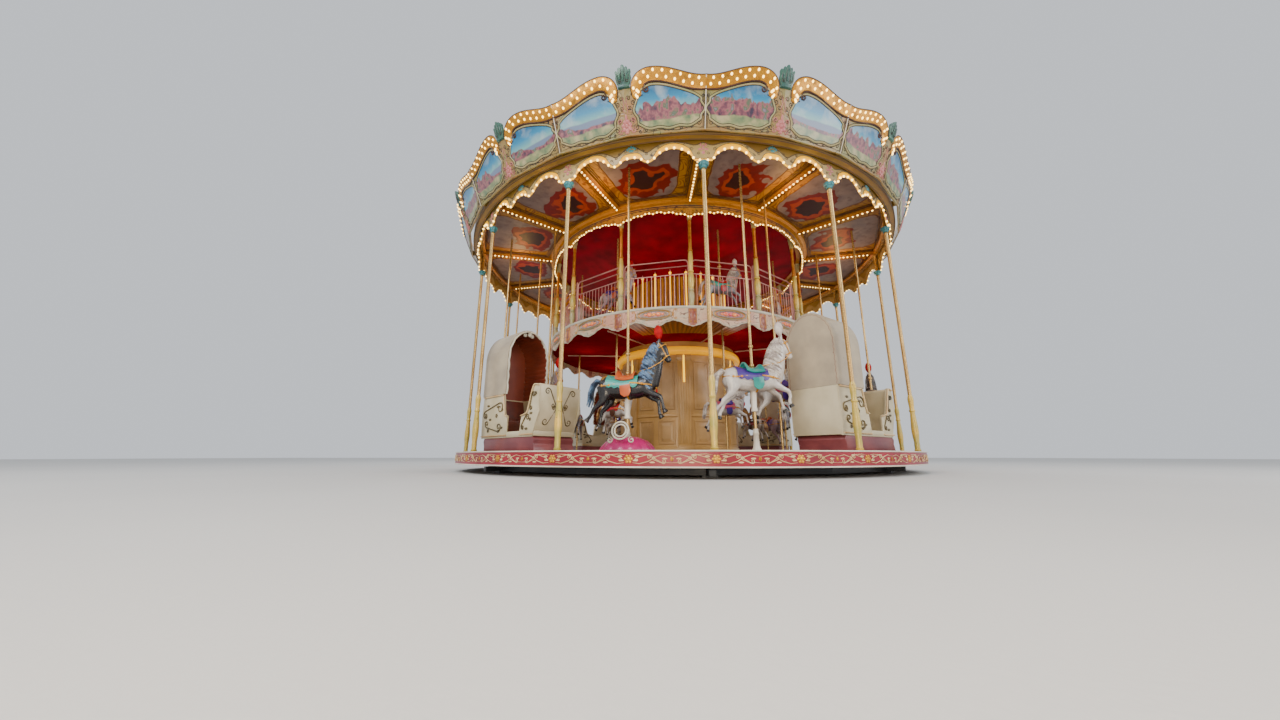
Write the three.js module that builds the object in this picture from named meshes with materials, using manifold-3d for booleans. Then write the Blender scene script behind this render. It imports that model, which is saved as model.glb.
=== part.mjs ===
// Two-deck fairground carousel, in millimetres, +Z up.
// The origin is on the axis of rotation, at the level that the base frame stands on.
// Angles around the axis are measured from -Y towards +X. A pole stands at angle 0.

import * as THREE from 'three';
import { mergeVertices } from 'three/addons/utils/BufferGeometryUtils.js';
import Module from 'manifold-3d';

const wasm = await Module();
wasm.setup();

// Division of the ring
const SECTIONS = 14;
const SECTION_ANGLE = (2 * Math.PI) / SECTIONS;
const ROUND = 28;

// Gap between pieces that touch, overlap of shapes that are joined, and tolerances
const FIT = 0.3;
const LAP = 10;
const WELD = 0.01;
const FINEST = 0.05;

// Base frame, which stands still
const PAD_HEIGHT = 30;
const PAD_SIDE = 240;
const LEG_COUNT = 7;
const LEG_WIDTH = 100;
const LEG_TOP = 120;
const LEG_INNER = 250;
const LEG_OUTER = 4950;
const TRACK_RADIUS = 4600;
const TRACK_WIDTH = 120;
const PAD_RADII = [2300, 4600];
const PEDESTAL_RADIUS = 420;
const PEDESTAL_TOP = 200;
const PAD_LAP = 1;

// Turning platform
const FLOOR_RADIUS = 5270;
const FLOOR_BOTTOM = 330;
const FLOOR_TOP = 380;
const HUB_RADIUS = 450;
const SKIRT_OUTER = 5305;
const SKIRT_BOTTOM = 150;
const SKIRT_TOP = 388;

// Centre drum of the lower deck
const DRUM_RADIUS = 1500;
const DRUM_WALL = 60;
const PILASTER_COUNT = 7;
const PILASTER_WIDTH = 350;
const PILASTER_DEPTH = 50;
const CORNICE_RADIUS = 1640;
const CORNICE_BOTTOM = 2630;
const CORNICE_BULGE = 60;
const CORNICE_CHAMFER = 40;
const CORNICE_TOP = 2810;

// Upper deck
const CEILING_BOTTOM = 2960;
const DECK_BOTTOM = 2990;
const DECK_TOP = 3110;
const DECK_RADIUS = 3340;
const FASCIA_OUTER = 3375;
const FASCIA_LOW = 2730;
const FASCIA_WAVE = 60;
const FASCIA_TOP = 3150;

// Inner columns
const COLUMN_RADIUS = 3265;
const COLUMN_SIDES = 6;
const COLUMN_BEAM_HALF = 45;
const COLUMN_BELLY = 1000;
const UPPER_FOOT = 60;
const UPPER_SHOULDER = 68;
const UPPER_SHOULDER_HEIGHT = 640;
const UPPER_NECK = 40;
const UPPER_HEAD = 38;
const CAPITAL_BOTTOM = 5080;
const CAPITAL_RADIUS = 72;
const CAPITAL_TOP = 5300;

// Railing of the upper deck
const RAIL_RADIUS = 3165;
const RAIL_THICK = 36;
const RAIL_HEIGHTS = [3150, 4222];

// Upper drum and the red ceiling round it
const UPPER_DRUM_RADIUS = 1300;
const UPPER_DRUM_WALL = 40;
const RED_INNER_Z = 5080;
const RED_OUTER_Z = 5330;
const RED_THICK = 25;

// Outer poles and the rim that carries the canopy
const POLE_RADIUS_PLACE = 5180;
const OUTER_POLE_RADIUS = 34;
const POLE_FOOT = [
  [62, 0], [62, 20], [44, 50], [46, 180], [58, 420], [42, 820], [50, 960], [OUTER_POLE_RADIUS, 1040],
];
const POLE_TIE_HALF = 25;
const POLE_TIE_DEPTH = 80;
const CAP_BOTTOM = 4810;
const CAP_TOP = 4900;
const CAP_RADIUS = 95;

// Flat coffered ceiling and its beams
const BEAM_BOTTOM = 5385;
const COFFER_BOTTOM = 5450;
const COFFER_THICK = 25;
const COFFER_INNER = 3400;
const COFFER_OUTER = 5205;
const BEAM_WIDTH = 130;
const BEAM_RING_WIDTH = 80;
const HOLE_SIDE = 70;

// Valances
const VALANCE_INNER = 5216;
const VALANCE_OUTER = 5240;
const VALANCE_ARCH = 5140;
const VALANCE_MIDDLE = 5030;
const VALANCE_POLE_PLACE = 0.13;
const VALANCE_PENDANT_PLACE = 0.8;
const VALANCE_ROUNDNESS = 0.6;
const INNER_VALANCE_INNER = 3345;
const INNER_VALANCE_OUTER = 3365;
const INNER_VALANCE_LOW = 5080;
const INNER_VALANCE_ARCH = 5215;
const INNER_VALANCE_ROUNDNESS = 0.7;

// Rim, brackets and rounding boards, which lean outwards
const RIM_OUTER = 5370;
const RIM_BOTTOM = 5215;
const RIM_LIP = 50;
const BOARD_BOTTOM_RADIUS = 5430;
const BOARD_BOTTOM = 5290;
const BOARD_LEAN = 0.404;
const BOARD_THICK = 30;
const BOARD_SEAM_TOP = 5818;
const BOARD_HUMP_TOP = 5990;
const BOARD_MIDDLE_TOP = 5900;
const BOARD_HUMP_PLACE = 0.66;
const RAIL_RISE = 200;
const RAIL_PROUD = 20;
const CREST_SEAT = 0.8;
const CREST_FINIAL = { halfWidth: 90, halfDepth: 50, height: 300, lean: 110 };
const BRACKET_WIDTH = 60;
const BRACKET_LOW = 5330;
const BRACKET_HIGH = 5440;
const BRACKET_RELIEF = 4;
const BRACKET_ROOT = 60;

// Roof
const EAVES_RADIUS = 5300;
const EAVES_Z = 5482;
const CROWN_RADIUS = 300;
const CROWN_Z = 8000;
const ROOF_THICK = 14;
const FINIAL_TOP = 8750;
const FINIAL_PROFILE = [[360, 0], [280, 146], [90, 246], [150, 386], [40, 546]];

// Horses and their poles
const HORSE_POLE_RADIUS = 22;
const POLE_SIDES = 6;
const SLEEVE_BORE = 22.8;
const OUTER_ROW_RADIUS = 4500;
const OUTER_ROW_SHIFT = -0.61 * SECTION_ANGLE;
const OUTER_ROW_HEIGHT = 1370;
const CRANK_THROW = 150;
const STROKE_SHARE = 0.8;
const STROKE_PHASE = 2.1;
const SLEEVE_TOP = 720;
const SLEEVE_FOOT = 80;
const SLEEVE_FLARE = 50;
const SLEEVE_FLARE_HEIGHT = 90;
const SLEEVE_NECK = 36;
const OUTER_POLE_END = 560;
const POLE_SPARE = 30;
const CHARIOT_SLOTS = [2, 6, 9, 13];
const MIDDLE_ROW_RADIUS = 3740;
const MIDDLE_ROW_SHIFT = -0.06 * SECTION_ANGLE;
const MIDDLE_ROW_HEIGHT = 1330;
const MIDDLE_ROW_SKIPPED = [0, 2, 6, 7, 9, 13];
const SMALL_ROW_RADIUS = 2640;
const SMALL_ROW_COUNT = 7;
const SMALL_ROW_SHIFT = THREE.MathUtils.degToRad(16);
const SMALL_HORSE = 0.8;
const LARGE_HORSE = 1.08;
const INNER_ROW_HEIGHT = 1230;
const UPPER_ROW_HEIGHT = 3850;
const TIE_HALF = 30;
const TIE_DEPTH = 40;
const MIDDLE_TIE_RISE = 60;
const UPPER_TIE_RISE = 120;
const ROD_SIDE = 30;
const ROD_DROP = 15;
const ROD_HUB = 40;
const ROD_PAST_POLE = 320;

// Chariots
const CHARIOT_RADIUS = 4500;
const CHARIOT_WIDTH = 880;
const CHARIOT_WALL = 40;
const CHARIOT_REAR = -1000;
const CHARIOT_FRONT = 800;
const CHARIOT_TOE = 640;
const CHARIOT_DASH_BACK = 660;
const CHARIOT_ARM_FRONT = 560;
const CHARIOT_HOOD_LENGTH = 800;
const PLINTH_MARGIN = 100;
const PLINTH_HEIGHT = 250;
const CHARIOT_FLOOR = 720;
const CHARIOT_SEAT = 950;
const CHARIOT_SEAT_FRONT = -400;
const CHARIOT_BACK_FRONT = -940;
const CHARIOT_KNEE = 1000;
const CHARIOT_ARM = 1020;
const CHARIOT_WAIST = 1400;
const CHARIOT_DASH = 1490;
const CHARIOT_TOP = 2670;
const DOOR_LENGTH = 400;
const DOOR_MIDDLE = 80;
const HOOD_SHOULDER = 0.55;

// Shell bases
const SHELL_SLOTS = [0, 7];
const SHELL_HEIGHT = 220;
const SHELL_PROFILE = [[400, 0], [330, 120], [170, SHELL_HEIGHT]];
const SHELL_STRETCH = 1.12;

// Colours
const IVORY = 0xd8cca0;
const CREAM = 0xcfc4a2;
const GOLD = 0xc08a22;
const BRASS = 0xc9ae7a;
const CRIMSON = 0x9c0a0e;
const PINK = 0xc02a48;
const YELLOW = 0xf0b800;
const OCHRE = 0xb9801f;
const STEEL = 0x55585c;
const TIMBER = 0x6e4a32;

// Sizes that follow from the ones above
const SKIRT_INNER = FLOOR_RADIUS + FIT;
const DRUM_TOP = CEILING_BOTTOM - FIT;
const RIM_BEAM_TOP = BEAM_BOTTOM - FIT;
const RED_OUTER_RADIUS = COLUMN_RADIUS - COLUMN_BEAM_HALF - FIT;
const VALANCE_LOW = CAP_TOP + FIT;
const RIM_INNER = VALANCE_OUTER + FIT;
const RIM_TOP = EAVES_Z - FIT;
const FACET = (2 * Math.PI) / ROUND;

const group = new THREE.Group();

// Solids from three.js geometries

function welded(geometry) {
  const bare = geometry.clone();
  bare.deleteAttribute('normal');
  bare.deleteAttribute('uv');
  return mergeVertices(bare, WELD);
}

function solidOf(geometry) {
  const whole = welded(geometry);
  const corners = whole.index.array;
  const kept = [];
  for (let i = 0; i < corners.length; i += 3) {
    const [a, b, c] = [corners[i], corners[i + 1], corners[i + 2]];
    if (a !== b && b !== c && c !== a) kept.push(a, b, c);
  }
  return new wasm.Manifold(
    new wasm.Mesh({
      numProp: 3,
      vertProperties: Float32Array.from(whole.attributes.position.array),
      triVerts: Uint32Array.from(kept),
    }),
  );
}

function joined(geometries) {
  return geometries.map(solidOf).reduce((sum, next) => sum.add(next));
}

function geometryOf(solid) {
  const mesh = solid.getMesh();
  const geometry = new THREE.BufferGeometry();
  geometry.setAttribute('position', new THREE.BufferAttribute(mesh.vertProperties, 3));
  geometry.setIndex(new THREE.BufferAttribute(mesh.triVerts, 1));
  return geometry;
}

function addPart(name, solid, color, roughness = 0.5, metalness = 0.1) {
  const material = new THREE.MeshStandardMaterial({ color, roughness, metalness });
  const mesh = new THREE.Mesh(geometryOf(solid.asOriginal().simplify(FINEST)), material);
  mesh.name = name;
  group.add(mesh);
  return mesh;
}

// A profile of [radius, height] pairs, anticlockwise, turned about Z.
// move(angle, point index, radius, height) may give each corner another radius and height.
function turned(profile, segments, move) {
  const points = profile.map(([radius, height]) => new THREE.Vector2(radius, height));
  const onAxis = profile[0][0] === 0;
  if (!onAxis) points.push(points[0].clone());
  const geometry = new THREE.LatheGeometry(points, segments);
  geometry.rotateX(Math.PI / 2);
  if (move) {
    const position = geometry.attributes.position;
    for (let i = 0; i < position.count; i += 1) {
      const angle = Math.atan2(position.getX(i), -position.getY(i));
      const radius = Math.hypot(position.getX(i), position.getY(i));
      const corner = i % points.length % profile.length;
      const [newRadius, newHeight] = move(angle, corner, radius, position.getZ(i));
      position.setXYZ(i, newRadius * Math.sin(angle), -newRadius * Math.cos(angle), newHeight);
    }
  }
  return welded(geometry);
}

// Radius of a facet at an angle, where its corners lie at the given radius
function facetRadius(radius, angle) {
  const turns = angle / FACET;
  const fromMiddle = (turns - Math.floor(turns) - 0.5) * FACET;
  return (radius * Math.cos(FACET / 2)) / Math.cos(fromMiddle);
}

function ring(inner, outer, bottom, top, segments = ROUND) {
  return turned([[inner, bottom], [outer, bottom], [outer, top], [inner, top]], segments);
}

function disc(radius, bottom, top, segments = ROUND) {
  return turned([[0, bottom], [radius, bottom], [radius, top], [0, top]], segments);
}

function box(width, depth, height, x, y, bottom) {
  return new THREE.BoxGeometry(width, depth, height).translate(x, y, bottom + height / 2);
}

// Moves a piece made on the axis out to a radius, and round to an angle.
function placed(geometry, radius, angle, height = 0) {
  return geometry.translate(0, -radius, height).rotateZ(angle);
}

function around(count, make) {
  return Array.from({ length: count }, (_, index) => make(index, (index * 2 * Math.PI) / count));
}

// 0 at a pole, 1 in the middle of a section
function halfSection(angle) {
  const turns = Math.abs(angle / SECTION_ANGLE) % 1;
  return 2 * Math.min(turns, 1 - turns);
}

// A closed limb through stations of [x, z, half width, half depth], with y across
function limb(stations, sides, across = 0) {
  const last = stations.length - 1;
  const geometry = new THREE.CylinderGeometry(1, 1, 1, sides, last);
  const position = geometry.attributes.position;
  for (let i = 0; i < position.count; i += 1) {
    const index = Math.round((position.getY(i) + 0.5) * last);
    const before = stations[Math.max(index - 1, 0)];
    const after = stations[Math.min(index + 1, last)];
    const [x, z, halfWidth, halfDepth] = stations[index];
    const along = new THREE.Vector2(after[0] - before[0], after[1] - before[1]).normalize();
    const side = position.getX(i) * halfWidth;
    const out = position.getZ(i) * halfDepth;
    position.setXYZ(i, x + along.y * out, across + side, z - along.x * out);
  }
  return welded(geometry);
}

// Base frame

function baseFrame() {
  const legs = around(LEG_COUNT, (_, angle) =>
    placed(box(LEG_WIDTH, LEG_OUTER - LEG_INNER, LEG_TOP - PAD_HEIGHT, 0, 0, PAD_HEIGHT),
      (LEG_OUTER + LEG_INNER) / 2, angle));
  const pads = around(LEG_COUNT, (_, angle) => PAD_RADII.map((radius) =>
    placed(box(PAD_SIDE, PAD_SIDE, PAD_HEIGHT + PAD_LAP, 0, 0, 0), radius, angle))).flat();
  const half = TRACK_WIDTH / 2;
  const track = ring(TRACK_RADIUS - half, TRACK_RADIUS + half, PAD_HEIGHT, LEG_TOP, SECTIONS);
  const hub = disc(PEDESTAL_RADIUS, PAD_HEIGHT, LEG_TOP, SECTIONS);
  const foot = disc(PEDESTAL_RADIUS, 0, PAD_HEIGHT + PAD_LAP, SECTIONS);
  return joined([hub, foot, track, ...legs, ...pads]);
}

addPart('base_frame', baseFrame(), STEEL, 0.6, 0.6);
addPart('slewing_pedestal',
  solidOf(disc(PEDESTAL_RADIUS, LEG_TOP + FIT, PEDESTAL_TOP, SECTIONS)), STEEL, 0.4, 0.8);

// Turning platform

function rowSlots(skipped) {
  const slots = Array.from({ length: SECTIONS }, (_, slot) => slot);
  return slots.filter((slot) => !skipped.includes(slot));
}

const outerSlots = rowSlots(CHARIOT_SLOTS);
const middleSlots = rowSlots(MIDDLE_ROW_SKIPPED);

function poleSleeve(slot) {
  const foot = FLOOR_TOP - FIT;
  return placed(turned([
    [SLEEVE_BORE, foot], [SLEEVE_FOOT, foot], [SLEEVE_FLARE, FLOOR_TOP + SLEEVE_FLARE_HEIGHT],
    [SLEEVE_NECK, SLEEVE_TOP], [SLEEVE_BORE, SLEEVE_TOP],
  ], POLE_SIDES), OUTER_ROW_RADIUS, slot * SECTION_ANGLE + OUTER_ROW_SHIFT);
}

function platformFloor() {
  const plate = turned([
    [0, PEDESTAL_TOP + FIT],
    [HUB_RADIUS, PEDESTAL_TOP + FIT],
    [HUB_RADIUS, FLOOR_BOTTOM],
    [FLOOR_RADIUS, FLOOR_BOTTOM],
    [FLOOR_RADIUS, FLOOR_TOP],
    [0, FLOOR_TOP],
  ], ROUND);
  return joined([plate, ...outerSlots.map(poleSleeve)]);
}

addPart('platform_floor', platformFloor(), TIMBER, 0.7, 0);
addPart('platform_skirt', solidOf(ring(SKIRT_INNER, SKIRT_OUTER, SKIRT_BOTTOM, SKIRT_TOP)), PINK, 0.45, 0.1);

// Centre drum of the lower deck

function centreDrum() {
  const bottom = FLOOR_TOP + FIT;
  const wall = ring(DRUM_RADIUS - DRUM_WALL, DRUM_RADIUS, bottom, DRUM_TOP);
  const height = CORNICE_BOTTOM - FIT - bottom;
  const pilasters = around(PILASTER_COUNT, (_, angle) =>
    placed(box(PILASTER_WIDTH, 2 * PILASTER_DEPTH, height, 0, 0, bottom), DRUM_RADIUS, angle));
  return joined([wall, ...pilasters]);
}

addPart('centre_drum', centreDrum(), IVORY, 0.5, 0.05);
addPart('drum_cornice', solidOf(turned([
  [DRUM_RADIUS + FIT, CORNICE_BOTTOM],
  [CORNICE_RADIUS - CORNICE_CHAMFER, CORNICE_BOTTOM],
  [CORNICE_RADIUS, CORNICE_BOTTOM + CORNICE_BULGE],
  [CORNICE_RADIUS - CORNICE_CHAMFER / 2, CORNICE_TOP],
  [DRUM_RADIUS + FIT, CORNICE_TOP],
], ROUND)), YELLOW, 0.4, 0.2);

// Upper deck

addPart('lower_ceiling',
  solidOf(disc(DECK_RADIUS - FIT, CEILING_BOTTOM, DECK_BOTTOM - FIT)), CRIMSON, 0.5, 0);
addPart('upper_deck_floor', solidOf(disc(DECK_RADIUS - FIT, DECK_BOTTOM, DECK_TOP)), TIMBER, 0.7, 0);

function fasciaBottom(angle) {
  const place = halfSection(angle);
  return FASCIA_LOW + FASCIA_WAVE * (1 - Math.cos(2 * Math.PI * place));
}

addPart('upper_fascia', solidOf(turned([
  [DECK_RADIUS, FASCIA_LOW],
  [FASCIA_OUTER, FASCIA_LOW],
  [FASCIA_OUTER, FASCIA_TOP],
  [DECK_RADIUS, FASCIA_TOP],
], SECTIONS * 4, (angle, corner, radius, height) =>
  [facetRadius(radius, angle), corner < 2 ? fasciaBottom(angle) : height])), CREAM, 0.5, 0.1);

// Columns of the upper deck, one at every section

function upperColumns() {
  const base = DECK_TOP + FIT;
  const columns = around(SECTIONS, (_, angle) => placed(turned([
    [0, base], [UPPER_FOOT, base], [UPPER_SHOULDER, base + UPPER_SHOULDER_HEIGHT],
    [UPPER_NECK, base + COLUMN_BELLY], [UPPER_HEAD, CAPITAL_BOTTOM],
    [CAPITAL_RADIUS, CAPITAL_TOP + LAP], [0, CAPITAL_TOP + LAP],
  ], COLUMN_SIDES), COLUMN_RADIUS, angle));
  const beam = ring(COLUMN_RADIUS - COLUMN_BEAM_HALF, COLUMN_RADIUS + COLUMN_BEAM_HALF,
    CAPITAL_TOP, RIM_BEAM_TOP);
  return joined([beam, ...columns]);
}

addPart('upper_columns', upperColumns(), BRASS, 0.35, 0.5);

function upperRailing() {
  const half = RAIL_THICK / 2;
  const rails = RAIL_HEIGHTS.map((height) =>
    ring(RAIL_RADIUS - half, RAIL_RADIUS + half, height - half, height + half, SECTIONS));
  const top = RAIL_HEIGHTS[RAIL_HEIGHTS.length - 1];
  const posts = around(SECTIONS, (_, angle) => placed(
    box(RAIL_THICK, RAIL_THICK, top - DECK_TOP - FIT, 0, 0, DECK_TOP + FIT), RAIL_RADIUS, angle));
  return joined([...rails, ...posts]);
}

addPart('upper_railing', upperRailing(), BRASS, 0.35, 0.6);

// Upper drum and red ceiling

addPart('upper_drum', solidOf(ring(UPPER_DRUM_RADIUS - UPPER_DRUM_WALL, UPPER_DRUM_RADIUS,
  DECK_TOP + FIT, RED_INNER_Z + RED_THICK)), GOLD, 0.4, 0.4);

function onRing(count, shift, radius, make) {
  return around(count, (index, angle) => placed(make(index), radius, angle + shift));
}

function redCeiling() {
  const cone = solidOf(turned([
    [UPPER_DRUM_RADIUS + FIT, RED_INNER_Z],
    [RED_OUTER_RADIUS, RED_OUTER_Z],
    [RED_OUTER_RADIUS, RED_OUTER_Z + RED_THICK],
    [UPPER_DRUM_RADIUS + FIT, RED_INNER_Z + RED_THICK],
  ], ROUND));
  const holes = onRing(SMALL_ROW_COUNT, SMALL_ROW_SHIFT, SMALL_ROW_RADIUS, () =>
    box(HOLE_SIDE, HOLE_SIDE, RED_OUTER_Z - RED_INNER_Z + 4 * RED_THICK, 0, 0, RED_INNER_Z - RED_THICK));
  return cone.subtract(joined(holes));
}

addPart('red_ceiling', redCeiling(), CRIMSON, 0.5, 0);

// Outer poles with turned feet, and the ring that ties their tops together

function outerPoles() {
  const base = FLOOR_TOP + FIT;
  const poles = around(SECTIONS, (_, angle) => placed(turned([
    [0, base], ...POLE_FOOT.map(([radius, height]) => [radius, base + height]),
    [OUTER_POLE_RADIUS, CAP_BOTTOM],
    [CAP_RADIUS, CAP_TOP], [OUTER_POLE_RADIUS, CAP_TOP], [OUTER_POLE_RADIUS, RIM_BEAM_TOP],
    [0, RIM_BEAM_TOP],
  ], POLE_SIDES), POLE_RADIUS_PLACE, angle));
  const tie = ring(POLE_RADIUS_PLACE - POLE_TIE_HALF, POLE_RADIUS_PLACE + POLE_TIE_HALF,
    RIM_BEAM_TOP - POLE_TIE_DEPTH, RIM_BEAM_TOP);
  return joined([tie, ...poles]);
}

addPart('outer_poles', outerPoles(), BRASS, 0.35, 0.5);

// Coffered ceiling, beams and valances

function slotHoles(slots, shift, radius) {
  return slots.map((slot) => placed(
    box(HOLE_SIDE, HOLE_SIDE, 3 * COFFER_THICK, 0, 0, COFFER_BOTTOM - COFFER_THICK),
    radius, slot * SECTION_ANGLE + shift));
}

function cofferedCeiling() {
  const plate = solidOf(ring(COFFER_INNER, COFFER_OUTER, COFFER_BOTTOM, COFFER_BOTTOM + COFFER_THICK));
  return plate.subtract(joined([
    ...slotHoles(outerSlots, OUTER_ROW_SHIFT, OUTER_ROW_RADIUS),
    ...slotHoles(middleSlots, MIDDLE_ROW_SHIFT, MIDDLE_ROW_RADIUS),
  ]));
}

function ceilingBeams() {
  const top = COFFER_BOTTOM - FIT;
  const beams = around(SECTIONS, (_, angle) => placed(
    box(BEAM_WIDTH, COFFER_OUTER - COFFER_INNER - 2 * LAP, top - BEAM_BOTTOM, 0, 0, BEAM_BOTTOM),
    (COFFER_OUTER + COFFER_INNER) / 2, angle));
  const inner = ring(COLUMN_RADIUS - COLUMN_BEAM_HALF, COFFER_INNER + BEAM_RING_WIDTH, BEAM_BOTTOM, top);
  const outer = ring(COFFER_OUTER - BEAM_RING_WIDTH, COFFER_OUTER, BEAM_BOTTOM, top);
  return joined([inner, outer, ...beams]);
}

addPart('coffered_ceiling', cofferedCeiling(), OCHRE, 0.5, 0.2);
addPart('ceiling_beams', ceilingBeams(), GOLD, 0.45, 0.3);

// Lower edge of the outer valance: a wide arch each side of a pole, a pendant and a small arch
function valanceBottom(angle) {
  const place = halfSection(angle);
  if (place < VALANCE_POLE_PLACE) return VALANCE_LOW;
  if (place < VALANCE_PENDANT_PLACE) {
    const across = (place - VALANCE_POLE_PLACE) / (VALANCE_PENDANT_PLACE - VALANCE_POLE_PLACE);
    return VALANCE_LOW + (VALANCE_ARCH - VALANCE_LOW) * Math.sin(Math.PI * across) ** VALANCE_ROUNDNESS;
  }
  const across = (place - VALANCE_PENDANT_PLACE) / (1 - VALANCE_PENDANT_PLACE);
  return VALANCE_LOW + (VALANCE_MIDDLE - VALANCE_LOW) * across ** VALANCE_ROUNDNESS;
}

addPart('outer_valance', solidOf(turned([
  [VALANCE_INNER, VALANCE_LOW],
  [VALANCE_OUTER, VALANCE_LOW],
  [VALANCE_OUTER, RIM_BEAM_TOP],
  [VALANCE_INNER, RIM_BEAM_TOP],
], SECTIONS * 10, (angle, corner, radius, height) =>
  [facetRadius(radius, angle), corner < 2 ? valanceBottom(angle) : height])), CREAM, 0.5, 0.1);

addPart('inner_valance', solidOf(turned([
  [INNER_VALANCE_INNER, INNER_VALANCE_LOW],
  [INNER_VALANCE_OUTER, INNER_VALANCE_LOW],
  [INNER_VALANCE_OUTER, RIM_BEAM_TOP],
  [INNER_VALANCE_INNER, RIM_BEAM_TOP],
], SECTIONS * 4, (angle, corner, radius, height) => {
  const arch = Math.sin((Math.PI / 2) * halfSection(angle)) ** INNER_VALANCE_ROUNDNESS;
  const low = INNER_VALANCE_LOW + (INNER_VALANCE_ARCH - INNER_VALANCE_LOW) * arch;
  return [facetRadius(radius, angle), corner < 2 ? low : height];
})), GOLD, 0.45, 0.3);

// Canopy rim with the brackets that hold the rounding boards

function boardInner(height) {
  return BOARD_BOTTOM_RADIUS + (height - BOARD_BOTTOM) * BOARD_LEAN;
}

function canopyRim() {
  const rim = turned([
    [RIM_INNER, RIM_BOTTOM], [RIM_INNER + RIM_LIP, RIM_BOTTOM], [RIM_OUTER, BOARD_BOTTOM],
    [RIM_OUTER, BRACKET_HIGH + LAP], [EAVES_RADIUS + LAP, RIM_TOP], [RIM_INNER, RIM_TOP],
  ], ROUND);
  const brackets = around(SECTIONS, (_, angle) => placed(
    new THREE.ExtrudeGeometry(new THREE.Shape([
      new THREE.Vector2(RIM_OUTER - BRACKET_ROOT, BRACKET_LOW),
      new THREE.Vector2(boardInner(BRACKET_LOW) - BRACKET_RELIEF, BRACKET_LOW),
      new THREE.Vector2(boardInner(BRACKET_HIGH) - BRACKET_RELIEF, BRACKET_HIGH),
      new THREE.Vector2(RIM_OUTER - BRACKET_ROOT, BRACKET_HIGH),
    ]), { depth: BRACKET_WIDTH, bevelEnabled: false })
      .translate(0, 0, -BRACKET_WIDTH / 2).rotateX(Math.PI / 2).rotateZ(-Math.PI / 2),
    0, angle));
  return joined([rim, ...brackets]);
}

addPart('canopy_rim', canopyRim(), OCHRE, 0.5, 0.2);

// Crest of the boards: low at a seam, a hump, and a dip in the middle under the finial
function boardTop(angle) {
  const place = halfSection(angle);
  if (place < BOARD_HUMP_PLACE) {
    const rise = Math.sin((Math.PI / 2) * (place / BOARD_HUMP_PLACE)) ** 2;
    return BOARD_SEAM_TOP + (BOARD_HUMP_TOP - BOARD_SEAM_TOP) * rise;
  }
  const across = (place - BOARD_HUMP_PLACE) / (1 - BOARD_HUMP_PLACE);
  return BOARD_HUMP_TOP + (BOARD_MIDDLE_TOP - BOARD_HUMP_TOP) * across;
}

const CREST_STEPS = SECTIONS * 6;

addPart('rounding_boards', solidOf(turned([
  [BOARD_BOTTOM_RADIUS, BOARD_BOTTOM],
  [BOARD_BOTTOM_RADIUS + BOARD_THICK, BOARD_BOTTOM],
  [BOARD_BOTTOM_RADIUS + BOARD_THICK, BOARD_SEAM_TOP],
  [BOARD_BOTTOM_RADIUS, BOARD_SEAM_TOP],
], CREST_STEPS, (angle, corner) => {
  const height = corner < 2 ? BOARD_BOTTOM : boardTop(angle);
  const radius = boardInner(height) + (corner === 1 || corner === 2 ? BOARD_THICK : 0);
  return [facetRadius(radius, angle), height];
})), CREAM, 0.5, 0.1);

function crestRail() {
  const rail = turned([
    [0.5, 0], [1, 0], [1, 1], [0.5, 1],
  ], CREST_STEPS, (angle, corner) => {
    const low = boardTop(angle) + CREST_SEAT;
    const middle = halfSection(angle) > 0.9;
    const height = corner < 2 ? low : low + (middle ? RAIL_RISE / 2 : RAIL_RISE);
    const out = corner === 1 || corner === 2 ? BOARD_THICK + RAIL_PROUD : -RAIL_PROUD;
    return [facetRadius(boardInner(height) + out, angle), height];
  });
  const base = BOARD_MIDDLE_TOP + RAIL_RISE / 4;
  const { halfWidth, halfDepth, height, lean } = CREST_FINIAL;
  const finials = around(SECTIONS, (_, angle) => placed(
    limb([
      [0, base, halfWidth, halfDepth],
      [lean, base + height, halfWidth, halfDepth],
    ], 4).rotateZ(-Math.PI / 2),
    boardInner(base) + RAIL_PROUD, angle + SECTION_ANGLE / 2));
  return joined([rail, ...finials]);
}

addPart('crest_rail', crestRail(), GOLD, 0.35, 0.4);

// Roof

addPart('canopy_roof', solidOf(turned([
  [CROWN_RADIUS, CROWN_Z],
  [EAVES_RADIUS, EAVES_Z],
  [EAVES_RADIUS, EAVES_Z + ROOF_THICK],
  [CROWN_RADIUS, CROWN_Z + ROOF_THICK],
], ROUND)), CRIMSON, 0.6, 0);

const FINIAL_BASE = CROWN_Z + ROOF_THICK + FIT;

addPart('roof_finial', solidOf(turned([
  [0, FINIAL_BASE],
  ...FINIAL_PROFILE.map(([radius, height]) => [radius, FINIAL_BASE + height]),
  [0, FINIAL_TOP],
], SECTIONS)), GOLD, 0.35, 0.6);

// Horses. x is forwards, y across, and z is up from the middle of the barrel.

function sideShape(points, width) {
  const shape = new THREE.Shape(points.map(([x, z]) => new THREE.Vector2(x, z)));
  return new THREE.ExtrudeGeometry(shape, { depth: width, bevelEnabled: false })
    .rotateX(Math.PI / 2).translate(0, width / 2, 0);
}

const TAIL_BACK = [[-600, -250], [-640, -250], [-570, 40], [-440, 140]];
const NECK_HEAD = [
  [190, 150], [300, 420], [400, 640], [470, 720], [560, 690], [650, 400], [610, 350], [520, 430], [470, 300],
  [440, 20],
];
const FORELEG = [[590, -120], [560, -400], [490, -400], [490, -170], [280, -140]];
const HINDLEG = [[-220, -140], [-300, -280], [-540, -500], [-590, -450], [-440, -240], [-450, -20]];
const BARREL = [[-430, 20, 90, 110], [-150, 0, 155, 165], [200, 20, 140, 155], [380, 40, 70, 110]];

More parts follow.
